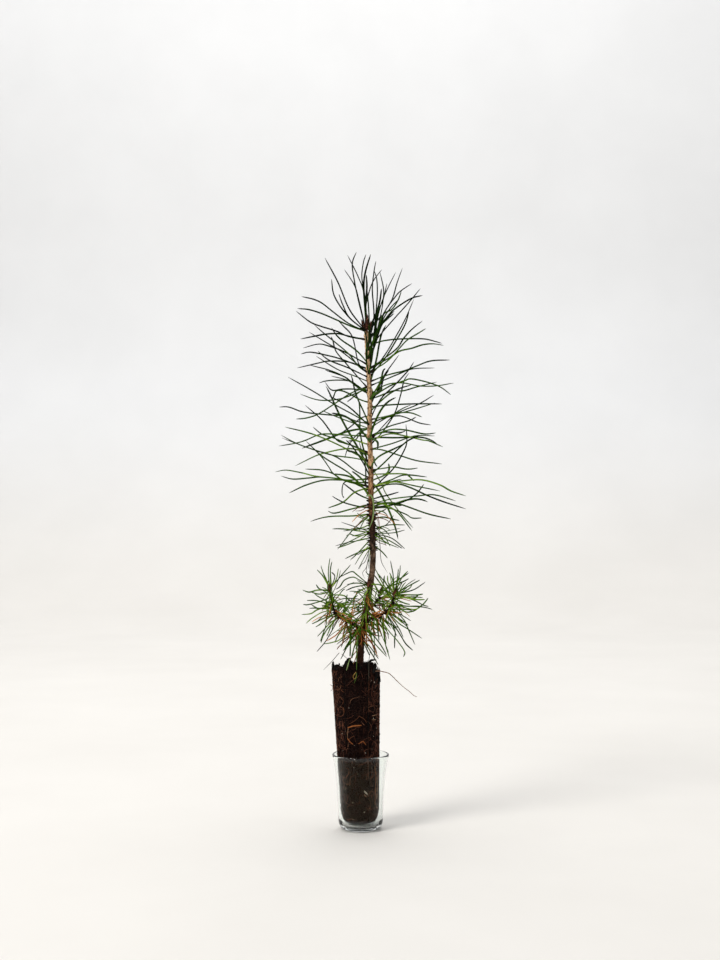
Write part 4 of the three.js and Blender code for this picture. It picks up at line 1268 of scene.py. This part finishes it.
LEFT_NEEDLES = [
    (1, 329, 584, 328.5, 573, 330, 558), (1, 326.5, 585, 323, 576, 317, 569.5),
    (1, 327.5, 584, 324.5, 576, 321, 566), (0, 333, 586, 336.5, 579, 338.5, 568.5),
    (2, 335, 584, 341, 576, 351, 564.5), (3, 336, 584, 335, 577, 331.5, 572),
    (1, 326.5, 591, 318, 590, 309.5, 592, 302.5, 590), (1, 326.5, 592, 319.5, 594, 311, 592),
    (2, 326.5, 592, 320, 589, 316, 584.5), (2, 328, 598, 319.5, 601.5, 308.5, 604.5, 303, 604.5),
    (0, 330, 605, 321.5, 608, 316.5, 610, 311, 613.5, 301.5, 614.5), (1, 329, 603, 320, 608.5, 311, 604.5),
    (0, 331, 611.5, 322.5, 612, 314.5, 616.5, 309.5, 620, 306, 623.5),
    (WITHER, 332.5, 613.5, 325, 615.5, 318, 618, 311.5, 622),
    (2, 327, 608, 327, 616, 326, 624.5, 323, 633.5, 320, 641.5),
    (1, 338.5, 618, 331, 624.5, 326.5, 630, 322.5, 637, 321, 643),
    (4, 334.5, 624, 329.5, 634.5, 325, 642, 316.5, 652),
    (0, 348, 634.5, 341, 638.5, 333.5, 642, 323.5, 644),
    (WITHER, 344.5, 626.5, 338, 633, 331.5, 638, 326, 641),
    (1, 335, 599.5, 341, 604.5, 346.5, 610.5, 352.5, 615), (0, 338, 611.5, 348, 614.5, 357, 619.5),
    (1, 336.5, 594.5, 343.5, 595.5, 349.5, 600.5, 355, 601.5), (1, 348, 609.5, 352.5, 600.5, 358, 595),
    (WITHER, 349, 643, 340, 645.5, 337, 649.5), (2, 353, 636, 349.5, 640.5, 343.5, 650.5),
    (0, 331, 592, 327, 598, 325, 607), (1, 332, 592, 333, 600, 331, 609),
    (0, 332, 595, 328, 603, 322, 606.5), (1, 333, 596, 337, 603, 338, 609),
    (0, 331, 600, 327, 606, 328, 613), (1, 334, 604, 331, 612, 333, 619),
    (0, 336, 606, 344, 607, 349.5, 611.5), (1, 338, 610, 343, 604, 349, 602),
    (0, 340, 612.5, 346, 613.5, 352, 617), (0, 350.5, 623, 354, 620.5, 358, 619),
    (3, 344, 625.5, 349.5, 633, 354.5, 640.5), (1, 349, 624, 353, 628, 357, 633),
    (WITHER, 340, 614, 344, 617, 351, 619.5), (WITHER, 343, 617, 345, 620, 350, 623.5),
    (WITHER, 347, 620, 352, 611.5, 358.5, 611.5), (WITHER, 345, 618, 350, 614.5, 355, 616),
    (WITHER, 334, 611, 341, 613, 349, 618), (WITHER, 336, 614, 342, 618, 348, 621),
    (WITHER, 342, 619, 347, 620, 353, 623), (WITHER, 341, 616, 346, 619, 352, 619),
]
FRONT_NEEDLES = [
    (2, 368, 583, 358, 575.5, 352.5, 571.5, 346.5, 573.5, 340, 577),
    (2, 368, 583, 359.5, 580, 353, 577, 344.5, 580, 340, 586.5, 335.5, 589.5),
    (2, 366.5, 583, 356.5, 583, 347, 584.5), (3, 366.5, 584.5, 354.5, 587, 346, 590.5),
    (0, 367, 586.5, 359.5, 591.5, 353, 598), (1, 367, 587, 361.5, 589.5, 353.5, 593),
    (0, 367, 588, 364.5, 597, 365, 607), (1, 369, 586, 371, 594, 369, 604),
    (1, 371.5, 583.5, 378, 584.5, 383, 586.5), (0, 366, 590, 363, 600, 362.5, 611),
    (1, 367, 592, 367, 603, 365, 615), (1, 369, 590, 371, 600, 372.5, 611),
    (2, 366, 596, 360, 604, 357.5, 611), (0, 368, 600, 366, 612, 361, 620),
    (1, 366, 606, 369.5, 616, 371, 626), (0, 364, 610, 366, 622, 369, 632),
    (1, 362, 612, 357, 621, 352.5, 629), (0, 363, 616, 359.5, 627, 353, 637),
    (1, 367, 612, 375, 619, 379, 626), (0, 360, 600, 354, 606, 347.5, 609.5),
    (1, 352, 600.5, 357, 607, 361, 613), (WITHER, 366, 593, 367, 597, 369.5, 600),
    (WITHER, 369, 599, 373, 605, 370.5, 612), (WITHER, 366, 606, 360, 603.5, 355.5, 600.5),
    (1, 367, 590, 359, 600, 352, 600.5), (WITHER, 366, 595, 368.5, 602, 371.5, 609),
    (WITHER, 368, 598, 371, 604, 374, 612), (WITHER, 365, 594, 366, 600, 369.5, 606),
]
RIGHT_NEEDLES = [
    (2, 393.5, 589.5, 393.5, 576.5, 390.5, 560.5), (2, 394.5, 584, 399.5, 574.5, 400.5, 565),
    (1, 398.5, 589.5, 401.5, 578.5, 408, 571), (0, 392, 589.5, 391.5, 582, 390.5, 573.5),
    (0, 390, 589.5, 388.5, 583, 387.5, 575.5), (2, 387, 587, 384.5, 581.5, 377.5, 573),
    (1, 386.5, 590, 385.5, 583, 384.5, 576.5), (2, 401.5, 588.5, 411.5, 584.5, 420, 580),
    (1, 402, 594.5, 408, 589.5, 413, 583.5), (3, 402, 595, 413, 590, 425.5, 582),
    (1, 402, 596, 415.5, 595, 423, 594), (1, 402, 597, 412.5, 598.5, 418.5, 594.5),
    (0, 402, 598, 415.5, 599.5, 425, 599.5), (1, 399, 600, 404, 603, 410, 604.5),
    (2, 405, 598, 413, 600, 423, 605, 428.5, 606.5),
    (1, 404.5, 608.5, 413, 609.5, 421.5, 605.5, 425.5, 601.5, 428, 598),
    (1, 398.5, 605, 404.5, 611.5, 411.5, 611.5, 417, 609.5),
    (2, 400, 611.5, 403.5, 619.5, 408.5, 630, 415, 645),
    (2, 391.5, 616.5, 398.5, 623, 408.5, 629.5, 422, 638.5), (0, 393.5, 611.5, 398.5, 619.5, 403.5, 623.5),
    (3, 391.5, 619.5, 398.5, 632, 405.5, 643.5, 413, 650.5),
    (3, 390.5, 619.5, 394.5, 630, 394.5, 639.5, 394.5, 648.5),
    (1, 382, 617, 384, 624, 389.5, 632, 397, 640.5, 404.5, 651.5, 403.5, 657),
    (1, 380, 616.5, 383, 630.5, 385.5, 645, 390, 660), (WITHER, 389.5, 612.5, 396, 613, 403, 611.5),
    (1, 393, 597, 388, 601, 382, 608), (0, 392, 600, 386, 606, 381, 609.5),
    (1, 391, 603, 393, 611, 396, 618), (0, 389, 606, 388, 613, 385, 622), (1, 395, 600, 399, 606, 400, 613),
    (0, 388, 598, 383, 594, 378, 596.5), (1, 387, 603, 381, 601, 376, 597),
    (0, 386, 592, 383, 598, 384, 605), (2, 390, 594, 385, 590, 380, 591),
    (WITHER, 372, 617, 374, 615, 378.5, 612.5), (WITHER, 374, 618, 377, 617.5, 382, 615),
    (WITHER, 378, 615, 380, 608, 377, 603), (WITHER, 382, 610, 378, 614, 372, 618),
    (WITHER, 384, 611, 380, 611, 374, 614), (WITHER, 380, 616, 377, 613, 371, 613),
    (WITHER, 386, 610, 391, 612, 397, 611),
]
FOOT_NEEDLES = [
    (1, 366, 622, 370, 634.5, 373.5, 642, 380, 649.5, 387, 657),
    (2, 369, 628, 375.5, 638, 382, 647, 386.5, 655), (WITHER, 366, 633, 370, 641.5, 374.5, 647, 377, 653.5),
    (2, 363.5, 640, 367, 650, 369.5, 655.5), (1, 357, 630, 354.5, 646.5, 352, 658.5),
    (2, 356, 634, 352, 641.5, 347, 647, 343, 650.5), (2, 366, 624, 374.5, 628, 377, 629.5, 379.5, 629),
    (WITHER, 370, 632, 376.5, 635.5, 382, 636), (WITHER, 362, 638, 366, 643, 367, 648),
    (WITHER, 361, 630, 364, 637, 368, 640), (0, 364, 618, 361, 629, 357, 636),
    (0, 366, 618, 368, 628, 372, 635),
]
# For each shoot how deep it lies behind the trunk's axis in millimetres, its needles' width as a
# share of the longest's, and its needles.
SEEN = {
    "tuft": (0, 1.1, TUFT_NEEDLES),
    "leader": (0, 1, LEADER_NEEDLES),
    "whorl": (-1, 0.7, WHORL_NEEDLES),
    "left": (-9, 0.84, LEFT_NEEDLES),
    "front": (-11, 0.78, FRONT_NEEDLES),
    "right": (-9, 0.84, RIGHT_NEEDLES),
    "foot": (-4, 0.84, FOOT_NEEDLES),
}


def seen(x, y, depth):
    """The place at a depth that shows at a pixel of the photograph."""
    reach = (EYE_DISTANCE + depth) / FOCAL_PIXELS
    right, down = x - PHOTO_MIDDLE[0], y - PHOTO_MIDDLE[1]
    return np.array([EYE_SIDE + right * reach, depth, EYE_HEIGHT - down * reach])


def nearest(path, place):
    """The place on a path that is nearest to another, as seen from the front."""

    def gap(spot):
        return math.hypot(spot[0] - place[0], spot[2] - place[2])

    return min((path(share) for share in np.linspace(0, 1, 81)), key=gap)


def add_seen(needles):
    """The needles of SEEN, which grow from their shoot and point a little forwards or backwards."""
    chance = seeded(9)
    for shoot, (depth, width, measured) in SEEN.items():
        stem = bough_paths.get(shoot, trunk_path)
        fresh = shoot in ("tuft", "leader")
        for tone, *spots in measured:
            spots = list(zip(spots[::2], spots[1::2]))
            swing = (chance() * 2 - 1.15) * 0.5 * math.dist(spots[0], spots[-1])
            last = len(spots) - 1
            places = [seen(x, y, depth + swing * (i / last) ** 1.3) for i, (x, y) in enumerate(spots)]
            path = Through([nearest(stem, places[0]), *places[1:]])
            points = np.array([path(t) for t in np.linspace(0, 1, 25)])
            aside = unit(np.cross(points[-1] - points[0], (0, 1.0, 0.3)))
            half = NEEDLE_HALF * width * (0.9 + 0.25 * chance())
            withered = tone <= WITHER
            if fresh and not withered:
                tone = 1.25 * tone + 0.5
            needles.needle(points, half, aside, chance, tone, withered, 0.9 if fresh else 0.7)
            needles.sheaths.tube(points[:3], width * np.array([0.9, 0.8, 0.5]), 7)


def add_spurs(needles):
    """Short bare spurs that crowd the trunk where last year's growth ends."""
    chance = seeded(17)
    for i in range(COUNTS["spurs"]):
        z = lerp(222, 264, (i / COUNTS["spurs"]) ** 1.1)
        turn = GOLDEN * i * 1.7 + chance()
        tilt = math.radians(62 + 40 * chance())
        out = RIGHT * math.cos(turn) + BACK * math.sin(turn)
        heading = out * math.sin(tilt) + UP * math.cos(tilt)
        start = trunk_path(trunk_share(z)) + out * trunk_radius(z) * 0.7
        long = 2.2 + 2.4 * chance()
        spots = [start + heading * long * k / 4 for k in range(5)]
        needles.sheaths.tube(spots, [0.75, 0.62, 0.5, 0.42, 0.2], 5)


# Loose needles and root ends that hang on their own: tone, half width, points.
STRANDS = [
    ("pale", 0.66, [(4.5, -3.6, 266.2), (8.5, -5.0, 266.4), (10.3, -5.2, 260), (9.8, -5.2, 249),
                    (6.8, -5.0, 240)]),
    ("grey", 0.28, [(14.4, -2.5, 239), (15.6, -3, 225), (16.6, -3, 214), (21.4, -3.5, 205)]),
    ("grey", 0.26, [(6.6, -2.5, 222), (3.6, -3.5, 214), (0.8, -4, 211.6), (-1.2, -4, 207.8)]),
    ("grey", 0.24, [(6.2, -2.5, 217), (4.4, -3.5, 209), (1.6, -4, 205), (3.2, -4.4, 200.5)]),
    ("grey", 0.24, [(6.0, -2.2, 214.5), (4.8, -3, 208.5), (5.2, -3.6, 203)]),
    ("green", 0.62, [(-0.8, -2.4, 160), (-2.2, -9, 156), (-3.0, -16, 145), (-3.2, -21, 129.5)]),
    ("grey", 0.24, [(7.6, -14, 143), (6.6, -19.4, 137), (6.4, -20.6, 128), (6.5, -20.6, 121)]),
    ("pale", 0.42, [(-8.4, -16, 137.5), (-9.6, -19.8, 134.6), (-11.2, -20.6, 129)]),
    ("straw", 0.22, [(-3.6, -20.4, 127.6), (-5.0, -20.6, 126.2), (-5.9, -20.5, 124.0),
                     (-5.0, -20.4, 122.3), (-3.7, -20.4, 124.0), (-3.5, -20.4, 126.4)]),
    ("green", 0.26, [(-3.3, -20.5, 127.0), (-3.4, -20.7, 124.2), (-4.2, -20.6, 121.6),
                     (-5.1, -20.4, 119.0)]),
    ("grey", 0.26, [(-17.0, -6, 141.4), (-23, -8, 134.6), (-29.6, -9, 128)]),
    ("grey", 0.22, [(-15.0, -8, 140.6), (-10.0, -9, 136.6)]),
    ("brown", 0.2, [(-22.6, -3, 114.6), (-24.6, -4, 115.8)]),
    ("brown", 0.2, [(-22.4, -5, 112), (-24.0, -7, 111)]),
]
LOOSE_ROOT = [
    (11.5, -13, 127.6), (15.2, -9, 127.2), (18.5, -5, 126.0), (22.4, -3, 124.6), (26.4, -2.2, 121.2),
    (30.1, -2, 117.4), (34.4, -2.2, 113.4), (38.6, -2.6, 110.4), (42.2, -3, 107.2), (44.9, -3, 105.8),
]


def make_strands():
    strands = Tones(
        green=((0.052, 0.120, 0.014), (0.080, 0.165, 0.022)),
        pale=((0.170, 0.260, 0.075), (0.270, 0.370, 0.140)),
        grey=((0.040, 0.038, 0.026), (0.085, 0.074, 0.052)),
        straw=((0.300, 0.165, 0.035), (0.430, 0.260, 0.070)),
        brown=((0.085, 0.040, 0.022), (0.150, 0.080, 0.045)),
    )
    for tone, half, points in STRANDS:
        path = Through(points)
        shares = np.linspace(0, 1, 26)
        widths = half * np.interp(shares, [0, 0.7, 1], [1, 0.9, 0.3])
        strands[tone].tube([path(s) for s in shares], widths)
    strands.make("strands", "needles", 120, 0.5, 0.03, 900)


def make_loose_root():
    path = Through(LOOSE_ROOT)
    chance = seeded(29)
    shares = np.linspace(0, 1, 90)
    wobble = [np.array([chance() - 0.5 for _ in range(3)]) * 0.22 for _ in shares]
    thick = [lerp(0.38, 0.22, s) * (0.85 + 0.3 * chance()) for s in shares]
    root = Pile()
    root.tube([path(s) + w for s, w in zip(shares, wobble)], thick, 7)
    paint = shaded("dry_root", (0.130, 0.058, 0.034), (0.300, 0.160, 0.098), 220, 0.7, 0.1)
    root.make("loose_root_strand", paint, "dry_root", ["loose_root"])


def grow_zone(name):
    """The bundles round one stretch of the trunk."""
    (low, high), rows, seed = ZONES[name]

    def radius(share):
        return trunk_radius(lerp(low, high, share))

    return grow_bundles(along_trunk(low, high), rows, radius, seed)


def grow_tuft():
    start = trunk_path(1) + UP * 0.3

    def path(share):
        return start + RIGHT * TUFT["side"] * share + UP * TUFT["height"] * share

    return grow_bundles(path, TUFT_ROWS, lambda share: 1.3, TUFT["seed"])


def make_plant():
    """The trunk and all needles.

    A bundle's out[1] tells how far it points to the back. Towards the front and the sides, where
    SEEN has the needles, most of the rule's are left out.
    """
    needles = Needles()
    chance = seeded(5)
    leader, whorl, foot = (grow_zone(name) for name in ZONES)
    make_trunk(leader + whorl + foot)

    for bundle in leader:
        front = -0.88 if 0.1 < bundle["share"] < 0.9 else -2
        if not front < bundle["out"][1] < 0.8:
            needles.bundle(bundle, chance, 3.6, 1, lerp(0.2, 3, bundle["share"]))
    for bundle in whorl:
        if bundle["out"][1] > 0.2:
            needles.bundle(bundle, chance, 2.6, 0.72, 0.3)
    for bundle in foot:
        if bundle["out"][1] > 0.1:
            needles.bundle(bundle, chance, 1.6, 0.65, -0.3)
    for name, (seed, _) in BOUGHS.items():
        for bundle in grow_bundles(bough_paths[name], BOUGH_ROWS, lambda share: TWIG_RADIUS, seed):
            if name == "back" or name != "front" and not -0.8 < bundle["out"][1] < 0.15:
                needles.bundle(bundle, chance, 1.3, 0.65, 0)
    for bundle in undergrowth():
        low = bundle["base"][2] < 200
        if bundle["out"][1] > 0.3 or low and (bundle["withered"] or bundle["out"][1] < -0.4):
            needles.bundle(bundle, chance, 1.2, 0.55, -0.4)
    for bundle in grow_tuft():
        if bundle["out"][1] > 0.75:
            needles.bundle(bundle, chance, 3.0, 0.9, 4)
    add_seen(needles)
    add_spurs(needles)
    needles.make([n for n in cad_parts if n.startswith(("leader_", "whorl_", "foot_", "needles_"))])


# ---------------------------------------------------------------- stage, light and camera


def make_stage():
    """A pale floor that curves up into a backdrop."""
    front, bend, bow, height = -2.5, 1.6, 0.9, 4.0  # metres; bow is the curve's radius
    turns = np.linspace(0.1, math.pi / 2, 12)
    curve = [(bend + bow * math.sin(a), bow - bow * math.cos(a)) for a in turns]
    profile = [(front, 0), (bend, 0), *curve, (bend + bow, height)]
    points = [(x, y, z) for y, z in profile for x in (-4, 4)]
    faces = [(2 * i, 2 * i + 1, 2 * i + 3, 2 * i + 2) for i in range(len(profile) - 1)]
    paint = Paint("backdrop", 0.95, Specular_IOR_Level=0.1)
    sweep = paint.ramp(paint.height(10, 500), [(0, (0.77, 0.745, 0.705)), (1, (0.80, 0.80, 0.80))])
    sweep.node.color_ramp.interpolation = "EASE"
    clouds = paint.ramp(paint.noise(4), [(0.3, (0.4, 0.4, 0.4)), (0.7, (1, 1, 1))])
    paint.colour(paint.mix(0.06, sweep, clouds))
    backdrop = add_mesh("backdrop", points, faces, paint.material)


def add_light(name, place, aim, size, power, colour=(1, 1, 1)):
    data = bpy.data.lights.new(name, "AREA")
    data.shape = "DISK"
    data.size = size
    data.energy = power
    data.color = colour
    light = add_object(name, data)
    light.location = place
    light.rotation_euler = (Vector(aim) - Vector(place)).to_track_quat("-Z", "Y").to_euler()


def make_light():
    world = bpy.data.worlds.new("studio")
    world.use_nodes = True
    background = world.node_tree.nodes["Background"].inputs
    background["Color"].default_value = (0.93, 0.96, 1.0, 1)
    background["Strength"].default_value = 0.30
    bpy.context.scene.world = world
    add_light("key", (-1.3, -1.2, 1.9), (0, 0.2, 0.2), 1.0, 36, (1, 0.98, 0.95))
    add_light("fill", (1.7, -0.7, 1.3), (0, 0.2, 0.2), 1.4, 4)
    add_light("top", (0, 1.0, 2.8), (0, 1.9, 0), 2.6, 57)


def make_camera():
    """Level, in front of the plant, as the photograph was taken."""
    data = bpy.data.cameras.new("camera")
    data.sensor_width = 36
    data.lens = LENS
    data.clip_start = 0.05
    camera = add_object("camera", data)
    camera.location = (EYE_SIDE * MM, -EYE_DISTANCE * MM, EYE_HEIGHT * MM)
    camera.rotation_euler = (math.pi / 2, 0, 0)
    bpy.context.scene.camera = camera


make_camera()
make_light()
make_stage()
make_glass()
make_plug()
make_crumbs()
make_root_web()
make_marks()
make_perlite()
make_crust()
make_plant()
make_boughs()
make_buds()
make_strands()
make_loose_root()
bpy.context.scene.view_settings.view_transform = "Standard"
